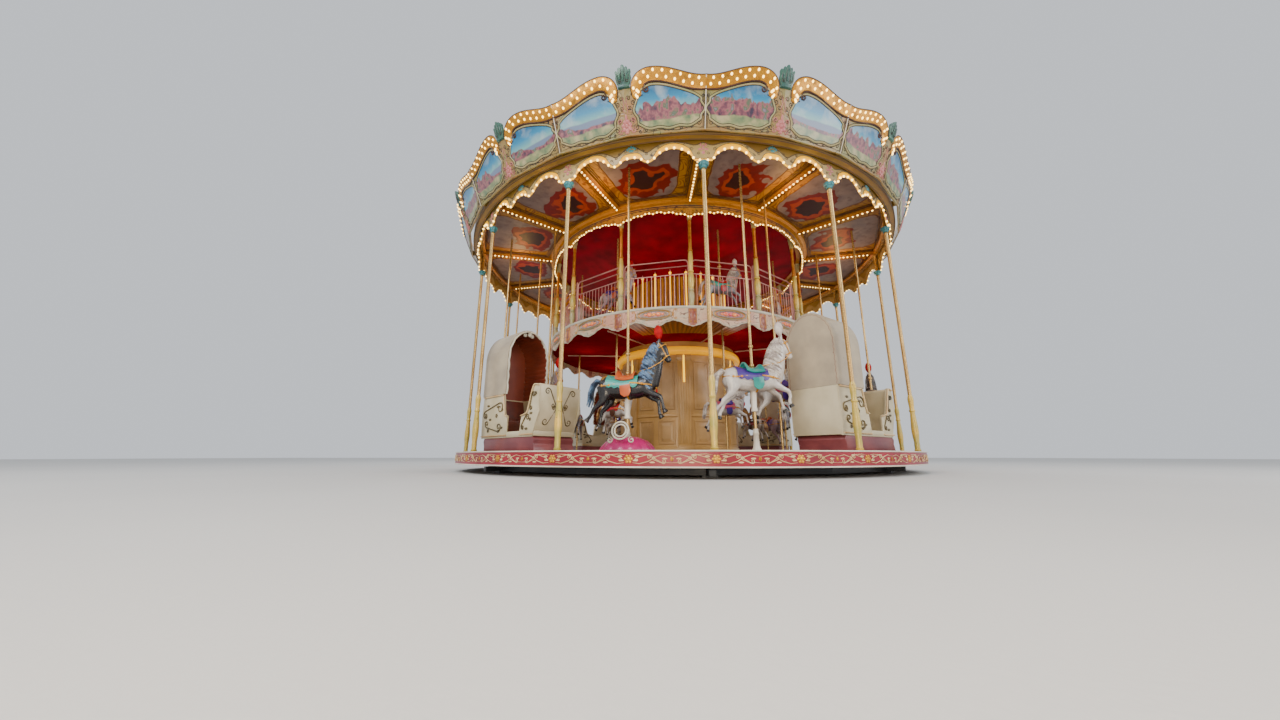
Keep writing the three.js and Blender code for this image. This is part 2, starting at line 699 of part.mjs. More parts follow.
const BELLY = [[300, -60], [-430, -40]];
const LEGS = [
  [[280, -30, 50, 75], [490, -420, 36, 40]],
  [[280, -30, 50, 75], [560, -360, 36, 40]],
  [[-330, -10, 60, 100], [-480, -530, 36, 40]],
  [[-330, -10, 60, 100], [-600, -460, 36, 40]],
];
const LEG_ACROSS = 85;
const NECK_WIDTH = 110;
const PLAIN_WIDTH = 120;
const SMALL_WIDTH = 210;
const WHOLE_OUTLINE = [...TAIL_BACK, ...NECK_HEAD, ...FORELEG, ...HINDLEG];

function fineHorse() {
  return [
    limb(BARREL, 6),
    sideShape([...TAIL_BACK, ...NECK_HEAD, ...BELLY], NECK_WIDTH),
    ...LEGS.map((stations, index) => limb(stations, 3, index % 2 ? -LEG_ACROSS : LEG_ACROSS)),
  ];
}

function plainHorse() {
  return [limb(BARREL, 5), sideShape(WHOLE_OUTLINE, PLAIN_WIDTH)];
}

function smallHorse() {
  return [sideShape(WHOLE_OUTLINE, SMALL_WIDTH).scale(SMALL_HORSE, SMALL_HORSE, SMALL_HORSE)];
}

function horsePole(bottom, top) {
  return turned([[0, bottom], [HORSE_POLE_RADIUS, bottom], [HORSE_POLE_RADIUS, top], [0, top]], POLE_SIDES);
}

function stroke(slot) {
  return CRANK_THROW * STROKE_SHARE * Math.sin(slot * STROKE_PHASE);
}

const OUTER_POLE_LENGTH = COFFER_BOTTOM + COFFER_THICK + CRANK_THROW + POLE_SPARE - OUTER_POLE_END;

outerSlots.forEach((slot, index) => {
  const angle = slot * SECTION_ANGLE + OUTER_ROW_SHIFT;
  const offset = stroke(slot);
  const horse = fineHorse().map((piece) =>
    piece.scale(LARGE_HORSE, LARGE_HORSE, LARGE_HORSE).translate(0, 0, OUTER_ROW_HEIGHT));
  const pole = horsePole(OUTER_POLE_END, OUTER_POLE_END + OUTER_POLE_LENGTH);
  const pieces = [...horse, pole].map((piece) => placed(piece, OUTER_ROW_RADIUS, angle, offset));
  addPart(`horse_${String(index + 1).padStart(2, '0')}`, joined(pieces), IVORY, 0.4, 0.05);
});

// The rows that turn with the platform but stand at one height

function fixedHorse(pieces, height, radius, angle, poleBottom, poleTop) {
  const horse = pieces.map((piece) => piece.translate(0, 0, height));
  const side = 2 * HORSE_POLE_RADIUS;
  const pole = box(side, side, poleTop - poleBottom, 0, 0, poleBottom);
  return [...horse, pole].map((piece) => placed(piece, radius, angle));
}

// A ring above the ceiling that joins the pole tops of a row
function rowTie(radius, shift, top) {
  return ring(radius - TIE_HALF, radius + TIE_HALF, top - TIE_DEPTH, top, SECTIONS).rotateZ(shift);
}

function middleRow() {
  const tieTop = COFFER_BOTTOM + COFFER_THICK + MIDDLE_TIE_RISE;
  const horses = middleSlots.flatMap((slot) => fixedHorse(plainHorse(), MIDDLE_ROW_HEIGHT + stroke(slot),
    MIDDLE_ROW_RADIUS, slot * SECTION_ANGLE + MIDDLE_ROW_SHIFT, FLOOR_TOP + FIT, tieTop));
  return joined([rowTie(MIDDLE_ROW_RADIUS, MIDDLE_ROW_SHIFT, tieTop), ...horses]);
}

function smallRow(height, bottom, top) {
  return around(SMALL_ROW_COUNT, (index, angle) => fixedHorse(smallHorse(), height + stroke(index) / 2,
    SMALL_ROW_RADIUS, angle + SMALL_ROW_SHIFT, bottom, top)).flat();
}

function innerRow() {
  const rodTop = CEILING_BOTTOM - ROD_DROP;
  const rodBottom = rodTop - ROD_SIDE;
  const hubOuter = DRUM_RADIUS + ROD_HUB;
  const hub = ring(DRUM_RADIUS + FIT, hubOuter, rodBottom, rodTop);
  const length = SMALL_ROW_RADIUS - hubOuter + ROD_PAST_POLE;
  const rods = onRing(SMALL_ROW_COUNT, SMALL_ROW_SHIFT, hubOuter - 2 * LAP + length / 2, () =>
    box(ROD_SIDE, length, ROD_SIDE, 0, 0, rodBottom));
  return joined([hub, ...rods, ...smallRow(INNER_ROW_HEIGHT, FLOOR_TOP + FIT, rodTop)]);
}

function upperRow() {
  const tieTop = RED_OUTER_Z + UPPER_TIE_RISE;
  const tie = rowTie(SMALL_ROW_RADIUS, SMALL_ROW_SHIFT, tieTop);
  return joined([tie, ...smallRow(UPPER_ROW_HEIGHT, DECK_TOP + FIT, tieTop)]);
}

addPart('middle_row_horses', middleRow(), IVORY, 0.4, 0.05);
addPart('inner_row_horses', innerRow(), IVORY, 0.4, 0.05);
addPart('upper_row_horses', upperRow(), IVORY, 0.4, 0.05);

// Chariots. x is forwards, and -y faces out of the carousel.

function archShape(half, low, high, depth, rear) {
  const shoulder = low + (high - low) * HOOD_SHOULDER;
  const shape = new THREE.Shape();
  shape.moveTo(-half, low);
  shape.lineTo(half, low);
  shape.lineTo(half, shoulder);
  shape.absellipse(0, shoulder, half, high - shoulder, 0, Math.PI, false);
  shape.closePath();
  return new THREE.ExtrudeGeometry(shape, { depth, bevelEnabled: false, curveSegments: 4 })
    .rotateX(Math.PI / 2).rotateZ(Math.PI / 2).translate(rear, 0, 0);
}

function chariotBody() {
  const base = FLOOR_TOP + FIT;
  const tubBottom = base + PLINTH_HEIGHT - LAP;
  const above = CHARIOT_DASH + PLINTH_MARGIN;
  const length = CHARIOT_FRONT - CHARIOT_REAR - 2 * PLINTH_MARGIN;
  const middle = (CHARIOT_FRONT + CHARIOT_REAR) / 2;
  const plinth = box(length, CHARIOT_WIDTH - CHARIOT_WALL, PLINTH_HEIGHT, middle, 0, base);
  const tub = sideShape([
    [CHARIOT_REAR, tubBottom],
    [CHARIOT_TOE, tubBottom],
    [CHARIOT_FRONT - LAP, CHARIOT_KNEE],
    [CHARIOT_FRONT, CHARIOT_DASH],
    [CHARIOT_DASH_BACK, CHARIOT_DASH],
    [CHARIOT_ARM_FRONT, CHARIOT_ARM],
    [CHARIOT_REAR + CHARIOT_HOOD_LENGTH + 2 * LAP, CHARIOT_ARM],
    [CHARIOT_REAR + CHARIOT_HOOD_LENGTH - 6 * LAP, CHARIOT_WAIST],
    [CHARIOT_REAR, CHARIOT_WAIST],
  ], CHARIOT_WIDTH);
  const inside = sideShape([
    [CHARIOT_SEAT_FRONT, CHARIOT_FLOOR],
    [CHARIOT_ARM_FRONT, CHARIOT_FLOOR],
    [CHARIOT_FRONT - PLINTH_MARGIN, CHARIOT_KNEE],
    [CHARIOT_FRONT - PLINTH_MARGIN, above],
    [CHARIOT_BACK_FRONT, above],
    [CHARIOT_BACK_FRONT, CHARIOT_SEAT],
    [CHARIOT_SEAT_FRONT, CHARIOT_SEAT],
  ], CHARIOT_WIDTH - 2 * CHARIOT_WALL);
  const doorHeight = CHARIOT_DASH - CHARIOT_FLOOR;
  const door = box(DOOR_LENGTH, 4 * CHARIOT_WALL, doorHeight, DOOR_MIDDLE, -CHARIOT_WIDTH / 2, CHARIOT_FLOOR);
  return joined([plinth, tub]).subtract(solidOf(inside)).subtract(solidOf(door));
}

function chariotHood() {
  const low = CHARIOT_WAIST + FIT;
  const half = CHARIOT_WIDTH / 2;
  const shell = archShape(half, low, CHARIOT_TOP, CHARIOT_HOOD_LENGTH, CHARIOT_REAR);
  const hollow = archShape(half - CHARIOT_WALL, low - 1, CHARIOT_TOP - CHARIOT_WALL,
    CHARIOT_HOOD_LENGTH, CHARIOT_REAR + CHARIOT_WALL);
  return solidOf(shell).subtract(solidOf(hollow));
}

function turnedTo(solid, radius, angle) {
  return solidOf(placed(geometryOf(solid), radius, angle));
}

CHARIOT_SLOTS.forEach((slot, index) => {
  const angle = slot * SECTION_ANGLE + OUTER_ROW_SHIFT;
  addPart(`chariot_body_${index + 1}`, turnedTo(chariotBody(), CHARIOT_RADIUS, angle), CREAM, 0.45, 0.1);
  addPart(`chariot_hood_${index + 1}`, turnedTo(chariotHood(), CHARIOT_RADIUS, angle), TIMBER, 0.6, 0);
});

// Scalloped bases round the feet of two opposite poles

function shellBase(slot) {
  const base = FLOOR_TOP + FIT;
  const bore = SLEEVE_FOOT + LAP;
  const shell = turned([
    [bore, base],
    ...SHELL_PROFILE.map(([radius, height]) => [radius, base + height]),
    [bore, base + SHELL_HEIGHT],
  ], 12);
  return solidOf(placed(shell.scale(SHELL_STRETCH, 1, 1), OUTER_ROW_RADIUS,
    slot * SECTION_ANGLE + OUTER_ROW_SHIFT));
}

SHELL_SLOTS.forEach((slot, index) => {
  addPart(`shell_base_${index + 1}`, shellBase(slot), PINK, 0.45, 0.1);
});

export default group;
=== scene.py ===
"""Looks of a two-deck fairground carousel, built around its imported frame.

Sizes are in metres. Angles round the axis run from -Y towards +X, and an outer pole stands at angle 0.
A section is the stretch between two poles, and its middle carries a finial of the crest.
"""

import logging
import math
from contextlib import contextmanager
from dataclasses import dataclass, field
from enum import Enum
from itertools import pairwise
from typing import Callable, Iterable, Iterator, Optional, Sequence, Union

import bmesh
import bpy
from mathutils import Matrix, Vector


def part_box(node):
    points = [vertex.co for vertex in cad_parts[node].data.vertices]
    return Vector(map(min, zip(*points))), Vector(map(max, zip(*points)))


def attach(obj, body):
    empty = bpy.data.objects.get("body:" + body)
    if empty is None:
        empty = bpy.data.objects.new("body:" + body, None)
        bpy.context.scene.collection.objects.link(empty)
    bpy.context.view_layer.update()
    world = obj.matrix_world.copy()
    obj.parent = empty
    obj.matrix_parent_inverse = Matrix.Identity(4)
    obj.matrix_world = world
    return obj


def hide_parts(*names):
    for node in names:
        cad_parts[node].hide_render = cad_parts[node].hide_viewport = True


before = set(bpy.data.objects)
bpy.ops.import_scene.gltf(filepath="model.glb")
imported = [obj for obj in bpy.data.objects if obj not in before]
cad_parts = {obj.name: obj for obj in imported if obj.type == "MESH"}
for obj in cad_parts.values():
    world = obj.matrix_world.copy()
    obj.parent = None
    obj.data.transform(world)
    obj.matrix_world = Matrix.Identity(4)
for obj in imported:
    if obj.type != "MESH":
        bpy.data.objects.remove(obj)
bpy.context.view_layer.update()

LOG = logging.getLogger("carousel")
SECTIONS = 14
TURN = 2 * math.pi
SECTION = TURN / SECTIONS
ROUND_STEPS = SECTIONS * 12
CAROUSEL = "carousel"
OUTER_ROW = 4.5
CHARIOT_SLOTS = (2, 6, 9, 13)
HORSE_SLOTS = (0, 1, 3, 4, 5, 7, 8, 10, 11, 12)
SHELL_SLOTS = (0, 7)
MIDDLE_SLOTS = (1, 3, 4, 5, 8, 10, 11, 12)

Point = tuple[float, float, float]
Pair = tuple[float, float]
Piece = bpy.types.Object
Curve = Callable[[float], float]


def linear(code: str) -> tuple[float, float, float, float]:
    """Turns a hex code such as "#8a6a20" into the linear red, green, blue and alpha that shaders use.

    Args:
        code: A hash sign and six hex digits.

    Returns:
        Red, green, blue and alpha.
    """
    parts = [int(code[i:i + 2], 16) / 255 for i in (1, 3, 5)]
    low_end, gain, offset, power = 0.04045, 12.92, 0.055, 2.4
    red, green, blue = [p / gain if p <= low_end else ((p + offset) / (1 + offset)) ** power for p in parts]
    return red, green, blue, 1.0


def maths(operation: str, swapped: bool = False) -> Callable[..., "Wire"]:
    """A method of Wire that adds one Math node, with its two numbers swapped where asked.

    Args:
        operation: The node's operation.
        swapped: True to put the other number first.

    Returns:
        The method.
    """
    def method(wire: "Wire", *others: "Number") -> "Wire":
        """The node's result."""
        return wire.paint.math(operation, *((*others, wire) if swapped else (wire, *others)))

    return method


class Wire:
    """A number that varies over a surface. Python operators on it add the shader's Math nodes."""

    __add__ = __radd__ = maths("ADD")
    __sub__ = maths("SUBTRACT")
    __rsub__ = maths("SUBTRACT", swapped=True)
    __mul__ = __rmul__ = maths("MULTIPLY")
    __truediv__ = maths("DIVIDE")
    __pow__ = maths("POWER")
    __mod__ = maths("FLOORED_MODULO")
    __abs__ = maths("ABSOLUTE")
    sine = maths("SINE")

    def __init__(self, paint: "Paint", socket: bpy.types.NodeSocket) -> None:
        """Keeps the paint that the number belongs to, and its socket."""
        self.paint = paint
        self.socket = socket

    def between(self, low: float, high: float) -> "Wire":
        """0 at low or less and 1 at high or more, with a straight rise."""
        return self.paint.clamped((self - low) / (high - low))


Number = Union[Wire, float]


class Paint:
    """A material under construction. Every node comes from node(), and its maths from Wire."""

    def __init__(self, name: str) -> None:
        """Starts an empty material with a shader and an output.

        Args:
            name: The material's name.
        """
        self.material = bpy.data.materials.new(name)
        self.material.use_nodes = True
        self.tree = self.material.node_tree
        self.tree.nodes.clear()
        self.shader = self.node("ShaderNodeBsdfPrincipled")
        self.node("ShaderNodeOutputMaterial", inputs={"Surface": self.shader.outputs["BSDF"]})
        self.places = self.node("ShaderNodeTexCoord").outputs

    def node(self, kind: str, settings: Optional[dict] = None,
             inputs: Optional[dict] = None) -> bpy.types.Node:
        """Adds a node: its settings first, then its sockets.

        Args:
            kind: The node's type.
            settings: Attributes by name. stops is a colour ramp's list of places and hex codes.
            inputs: Values or links by socket name or number.

        Returns:
            The new node.
        """
        made = self.tree.nodes.new(kind)
        for name, value in (settings or {}).items():
            if name == "stops":
                ramp = made.color_ramp.elements
                while len(ramp) < len(value):
                    ramp.new(1.0)
                for element, (place, code) in zip(ramp, value):
                    element.position = place
                    element.color = linear(code)
            else:
                setattr(made, name, value)
        for name, value in (inputs or {}).items():
            self.put(made.inputs[name], value)
        return made

    def put(self, socket: bpy.types.NodeSocket, value: object) -> None:
        """Links a socket, or sets its value. A hex code becomes a colour.

        Args:
            socket: The input.
            value: A number, a hex code, a wire or an output.
        """
        if isinstance(value, Wire):
            value = value.socket
        if isinstance(value, bpy.types.NodeSocket):
            self.tree.links.new(value, socket)
        else:
            socket.default_value = linear(value) if isinstance(value, str) else value

    def math(self, operation: str, *values: Number) -> Wire:
        """A Math node on one or two numbers."""
        return Wire(self, self.node("ShaderNodeMath", {"operation": operation},
                                    dict(enumerate(values))).outputs[0])

    def clamped(self, value: Number) -> Wire:
        """The value held between 0 and 1."""
        return Wire(self, self.node("ShaderNodeClamp", inputs={"Value": value}).outputs[0])

    def mix(self, share: Number, first: object, second: object) -> bpy.types.NodeSocket:
        """A colour between two others: the first at share 0 and the second at 1."""
        settings = {"data_type": "RGBA", "blend_type": "MIX"}
        return self.node("ShaderNodeMix", settings, {0: share, 6: first, 7: second}).outputs[2]

    def ramp(self, value: Number, *stops: tuple[float, str]) -> bpy.types.NodeSocket:
        """A colour looked up along a ramp."""
        return self.node("ShaderNodeValToRGB", {"stops": stops}, {0: value}).outputs[0]

    def noise(self, scale: float, detail: float = 2.0, where: object = None, warp: float = 0.0) -> Wire:
        """Smooth noise between 0 and 1, on Object coordinates unless another vector is given."""
        inputs = {"Vector": where or self.places["Object"], "Scale": scale, "Detail": detail,
                  "Distortion": warp}
        return Wire(self, self.node("ShaderNodeTexNoise", inputs=inputs).outputs[0])

    def patches(self, scale: float, low: float, high: float, detail: float = 3.0, warp: float = 0.0) -> Wire:
        """Noise that is 0 at low or less and 1 at high or more."""
        return self.noise(scale, detail, warp=warp).between(low, high)

    def cells(self, scale: float) -> Wire:
        """Distance to the nearest of many scattered points."""
        inputs = {"Vector": self.places["Object"], "Scale": scale}
        return Wire(self, self.node("ShaderNodeTexVoronoi", inputs=inputs).outputs[0])

    def axes(self, source: str = "Object") -> tuple[Wire, Wire, Wire]:
        """The three numbers of the Object or UV coordinates."""
        split = self.node("ShaderNodeSeparateXYZ", inputs={0: self.places[source]})
        return tuple(Wire(self, out) for out in split.outputs)

    def vector(self, *numbers: Number) -> bpy.types.NodeSocket:
        """A vector from three numbers."""
        return self.node("ShaderNodeCombineXYZ", inputs=dict(enumerate(numbers))).outputs[0]

    def finish(self, color: object, roughness: Number, metallic: float = 0.0, bump: Optional[Wire] = None,
               relief: float = 0.002, glow: float = 0.0, coat: float = 0.0,
               shine: float = 0.5) -> bpy.types.Material:
        """Feeds the shader and returns the material.

        Args:
            color: A hex code or a colour socket.
            roughness: A number or a wire.
            metallic: 0 for paint and 1 for bare metal.
            bump: Height of the surface, from 0 to 1.
            relief: What a bump of 1 stands for, in metres.
            glow: Strength of the light that the surface gives off.
            coat: Share of clear varnish.
            shine: Strength of the plain reflection.

        Returns:
            The finished material.
        """
        sockets = self.shader.inputs
        for name, value in (("Specular IOR Level", shine), ("Base Color", color), ("Roughness", roughness),
                            ("Metallic", metallic), ("Coat Weight", coat), ("Coat Roughness", 0.15)):
            self.put(sockets[name], value)
        if bump is not None:
            bumped = self.node("ShaderNodeBump", inputs={"Strength": 1.0, "Distance": relief, "Height": bump})
            self.put(sockets["Normal"], bumped.outputs[0])
        if glow:
            self.put(sockets["Emission Color"], color)
            sockets["Emission Strength"].default_value = glow
        return self.material


# Finishes

@dataclass(frozen=True)
class Finish:
    """What a piece is painted with. Its slot is the record's material slot that it goes by."""

    name: str
    slot: str

    def material(self) -> bpy.types.Material:
        """The material, built the first time that it is asked for."""
        return bpy.data.materials.get(self.name) or self.mixed(Paint(self.name))

    def mixed(self, paint: Paint) -> bpy.types.Material:
        """Builds the material. Each kind of finish has a way of its own."""
        raise NotImplementedError


@dataclass(frozen=True)
class Lacquer(Finish):
    """Brushed and varnished paint: two tones in broad patches, with chips and brush marks."""

    base: str
    second: str
    roughness: float = 0.38
    metallic: float = 0.0
    patches: float = 2.5
    chips: str = "#4a3a26"
    chipped: float = 0.72
    # A glow above 0 is painted light: the surface gives off light though it is no lamp.
    glow: float = 0.0
    coat: float = 0.2
    shine: float = 0.5

    def mixed(self, paint: Paint) -> bpy.types.Material:
        """Builds the material.

        Args:
            paint: The material under construction.

        Returns:
            The finished material.
        """
        broad = paint.patches(self.patches, 0.3, 0.7)
        brushed = paint.noise(70.0, 4.0)
        color = paint.mix(broad, self.base, self.second)
        chips = paint.patches(26.0, self.chipped, self.chipped + 0.03, 6.0)
        color = paint.mix(chips * 0.8, color, self.chips)
        rough = self.roughness + (brushed - 0.5) * 0.25 + chips * 0.2
        height = brushed - chips * 0.6
        return paint.finish(color, rough, self.metallic, height, 0.0015, self.glow, self.coat, self.shine)


@dataclass(frozen=True)
class Gilding(Finish):
    """Gold leaf over a red-brown ground, rubbed darker where the leaf is thin."""

    leaf: str = "#c8892a"
    ground: str = "#6b3413"
    roughness: float = 0.34
    metallic: float = 0.55
    fleck: str = "#e2b04c"

    def mixed(self, paint: Paint) -> bpy.types.Material:
        """Builds the material.

        Args:
            paint: The material under construction.

        Returns:
            The finished material.
        """
        rubbed = paint.patches(9.0, 0.52, 0.78, 5.0, 0.4)
        squares = paint.cells(14.0).between(0.25, 0.75)
        color = paint.mix(squares * 0.35, self.leaf, self.fleck)
        color = paint.mix(rubbed * 0.7, color, self.ground)
        fine = paint.noise(90.0, 3.0)
        rough = self.roughness + rubbed * 0.25 + (fine - 0.5) * 0.15
        return paint.finish(color, rough, self.metallic, fine - rubbed, 0.0015, coat=0.1)


@dataclass(frozen=True)
class Planks(Finish):
    """Boards laid across the deck, with grain, dark joints and worn middles."""

    light: str = "#7a5a40"
    dark: str = "#4a3224"
    width: float = 0.14

    def mixed(self, paint: Paint) -> bpy.types.Material:
        """Builds the material.

        Args:
            paint: The material under construction.

        Returns:
            The finished material.
        """
        x, y, _ = paint.axes()
        across = (x / self.width) % 1.0
        joint = abs(across - 0.5).between(0.47, 0.49)
        number = x / self.width - across
        grain = paint.noise(1.0, 5.0, paint.vector(x * 40.0 + number * 7.0, y * 2.5, number), 0.6)
        tone = (number * 12.9).sine() * 0.25 + grain * 0.7
        color = paint.mix(paint.clamped(tone), self.dark, self.light)
        color = paint.mix(joint, color, "#1a120c")
        return paint.finish(color, 0.62 + grain * 0.25, 0.0, grain * 0.4 - joint, 0.003)


@dataclass(frozen=True)
class ScrollPaint(Finish):
    """A pale carved ground with thin dark scroll lines, drawn on the piece's own chart."""

    ground: str
    second: str
    line: str
    tint: str
    scale: float
    rings: float
    width: float

    def mixed(self, paint: Paint) -> bpy.types.Material:
        """Builds the material.

        Args:
            paint: The material under construction.

        Returns:
            The finished material.
        """
        edge = abs((paint.noise(self.scale, 0.6, paint.places["UV"], 0.9) * self.rings) % 1.0 - 0.5)
        line = 1.0 - edge.between(self.width * 0.5, self.width)
        color = paint.mix(paint.patches(2.2, 0.35, 0.65), self.ground, self.second)
        color = paint.mix(paint.patches(5.0, 0.55, 0.75, 2.0, 0.5) * 0.5, color, self.tint)
        color = paint.mix(line * paint.patches(6.0, 0.4, 0.5, 1.0), color, self.line)
        brushed = paint.noise(60.0, 4.0)
        carved = edge * 1.2 + brushed * 0.15
        return paint.finish(color, 0.42 + (brushed - 0.5) * 0.2, 0.0, carved, 0.006, coat=0.15)


@dataclass(frozen=True)
class Landscape(Finish):
    """A generic painted view: sky with clouds, hills, a wood of rosy and green trees, and a meadow."""

    height: float

    def mixed(self, paint: Paint) -> bpy.types.Material:
        """Builds the material.

        Args:
            paint: The material under construction.

        Returns:
            The finished material.
        """
        _, v, _ = paint.axes("UV")
        up = v / self.height
        sky = paint.ramp(up, (0.25, "#a8ae8c"), (0.5, "#70a4a2"), (0.76, "#227ca4"), (1.0, "#105e88"))
        sky = paint.mix(paint.patches(3.4, 0.48, 0.68, 5.0, 0.3) * 0.5, sky, "#b4b8b8")
        far = 0.36 + paint.noise(1.3, 2.0) * 0.3
        near = 0.1 + paint.noise(2.7, 3.0) * 0.26
        x, y, z = paint.axes()
        crowns = paint.noise(1.0, 3.0, paint.vector(x * 9.0, y * 9.0, z * 1.6), 0.4)
        wood = near + 0.1 + crowns * 0.75 * paint.patches(1.1, 0.4, 0.56, 0.0)
        leaves = paint.ramp(crowns * 0.5 + paint.noise(11.0, 4.0) * 0.5, (0.36, "#34283c"), (0.45, "#6c3c48"),
                            (0.52, "#94585c"), (0.58, "#4c5e44"), (0.68, "#86708a"))
        meadow = paint.ramp(paint.noise(7.0, 4.0), (0.3, "#4a6648"), (0.5, "#84885c"), (0.65, "#a89c72"))
        color = paint.mix((up - far).between(-0.02, 0.02), "#667690", sky)
        color = paint.mix((up - wood).between(-0.015, 0.015), leaves, color)
        color = paint.mix((up - near).between(-0.02, 0.02), meadow, color)
        brushed = paint.noise(45.0, 4.0)
        return paint.finish(color, 0.35 + (brushed - 0.5) * 0.2, 0.0, brushed, 0.0015, coat=0.3)


@dataclass(frozen=True)
class CeilingPainting(Finish):
    """An ochre panel with a scalloped field of mauve, and on it lobed shapes in dark red and orange."""

    field_width: float = 0.66
    field_height: float = 0.76
    taper: float = 0.2
    bloom_place: float = -0.22

    def mixed(self, paint: Paint) -> bpy.types.Material:
        """Builds the material.

        Args:
            paint: The material under construction.

        Returns:
            The finished material.
        """
        u, v, _ = paint.axes("UV")
        wobble = (u * 14.0).sine() * (v * 17.0).sine() * 0.09
        across = abs(u / (v * self.taper + self.field_width)) ** 5.0
        away = across + abs(v / self.field_height) ** 5.0 + wobble
        inside = 1.0 - away.between(0.94, 1.0)
        border = 1.0 - abs(away - 1.1).between(0.05, 0.12)
        bloom = ((u / 0.5) ** 2.0 + ((v - self.bloom_place) / 0.44) ** 2.0) ** 0.5
        lobes = 0.8 - bloom * 0.5 + paint.cells(5.0) * 0.25 + paint.noise(1.6, 0.5) * 0.6
        art = paint.mix(paint.patches(3.0, 0.35, 0.7), "#857068", "#6d5c5a")
        for place, code in ((0.68, "#700806"), (0.83, "#a0340a"), (0.96, "#2c040a")):
            art = paint.mix((lobes - place).between(-0.008, 0.008), art, code)
        art = paint.mix(paint.patches(8.0, 0.5, 0.75, 4.0) * 0.4, art, "#2c0c0a")
        swirl = abs((paint.noise(2.6, 0.5, warp=1.1) * 9.0) % 1.0 - 0.5)
        ochre = paint.mix(swirl.between(0.06, 0.2), "#6a3a0c", "#a8741a")
        ochre = paint.mix(paint.patches(3.0, 0.4, 0.7) * 0.5, ochre, "#7e5412")
        color = paint.mix(inside, paint.mix(border, ochre, "#5a2a0c"), art)
        brushed = paint.noise(40.0, 4.0)
        height = border * 0.6 + swirl * (1.0 - inside) * 0.5 + brushed * 0.1
        return paint.finish(color, 0.5 + (brushed - 0.5) * 0.2, 0.0, height, 0.012, shine=0.3)


@dataclass(frozen=True)
class Spokes(Finish):
    """Two tones in rays from the axis, for pleats and striped drums: the dark tone in the grooves is painted
    shade.
    """

    light: str
    dark: str
    rays: int
    metallic: float = 0.0

    def mixed(self, paint: Paint) -> bpy.types.Material:
        """Builds the material.

        Args:
            paint: The material under construction.

        Returns:
            The finished material.
        """
        x, y, _ = paint.axes()
        wave = (paint.math("ARCTAN2", x, 0.0 - y) * float(self.rays)).sine() * 0.5 + 0.5
        uneven = paint.noise(5.0, 3.0)
        # The dark tone lies in the grooves of the bump and the light one on its ridges: painted shade and
        # painted light of the folds.
        color = paint.mix(paint.clamped(wave * 0.8 + (uneven - 0.5) * 0.7), self.dark, self.light)
        return paint.finish(color, 0.34 + uneven * 0.2, self.metallic, wave, 0.006)


@dataclass(frozen=True)
class Coat(Finish):
    """A horse's lacquered coat, with dapples, soft shading and fine brush marks."""

    base: str
    shade: str
    dapple: float = 0.0

    def mixed(self, paint: Paint) -> bpy.types.Material:
        """Builds the material.

        Args:
            paint: The material under construction.

        Returns:
            The finished material.
        """
        color = paint.mix(paint.patches(4.0, 0.35, 0.7), self.base, self.shade)
        if self.dapple:
            color = paint.mix(paint.cells(22.0).between(0.15, 0.5) * self.dapple, color, self.shade)
        brushed = paint.noise(55.0, 4.0)
        return paint.finish(color, 0.28 + (brushed - 0.5) * 0.2, 0.0, brushed, 0.001, coat=0.5)


@dataclass(frozen=True)
class Strands(Finish):
    """Carved hair, in grooves that run down the locks; the grooves are painted darker, as painted shade."""

    light: str
    dark: str

    def mixed(self, paint: Paint) -> bpy.types.Material:
        """Builds the material.

        Args:
            paint: The material under construction.

        Returns:
            The finished material.
        """
        _, _, z = paint.axes()
        wave = (paint.noise(16.0, 2.0, warp=1.4) * 9.0 + z * 30.0).sine() * 0.5 + 0.5
        # The dark tone lies in the grooves and the light one on the ridges: painted shade and painted light
        # of the carving.
        color = paint.mix(wave, self.dark, self.light)
        return paint.finish(color, 0.42 + wave * 0.15, 0.0, wave, 0.004, coat=0.3)


@dataclass(frozen=True)
class Lamp(Finish):
    """A frosted bulb or tube that gives off warm light, brighter in its middle."""

    color: str = "#ffe08a"
    edge: str = "#ffbe40"
    strength: float = 5.0

    def mixed(self, paint: Paint) -> bpy.types.Material:
        """Builds the material."""
        facing = paint.node("ShaderNodeLayerWeight", inputs={"Blend": 0.4}).outputs["Facing"]
        return paint.finish(paint.mix(facing, self.color, self.edge), 0.25, 0.0, glow=self.strength)


@dataclass(frozen=True)
class Pavement(Finish):
    """The pale studio floor, which isn't part of the carousel."""

    def mixed(self, paint: Paint) -> bpy.types.Material:
        """Builds the material."""
        color = paint.mix(paint.noise(0.35, 3.0), "#c9c7c3", "#d4d2ce")
        return paint.finish(color, 0.7, bump=paint.noise(30.0, 3.0), relief=0.001)


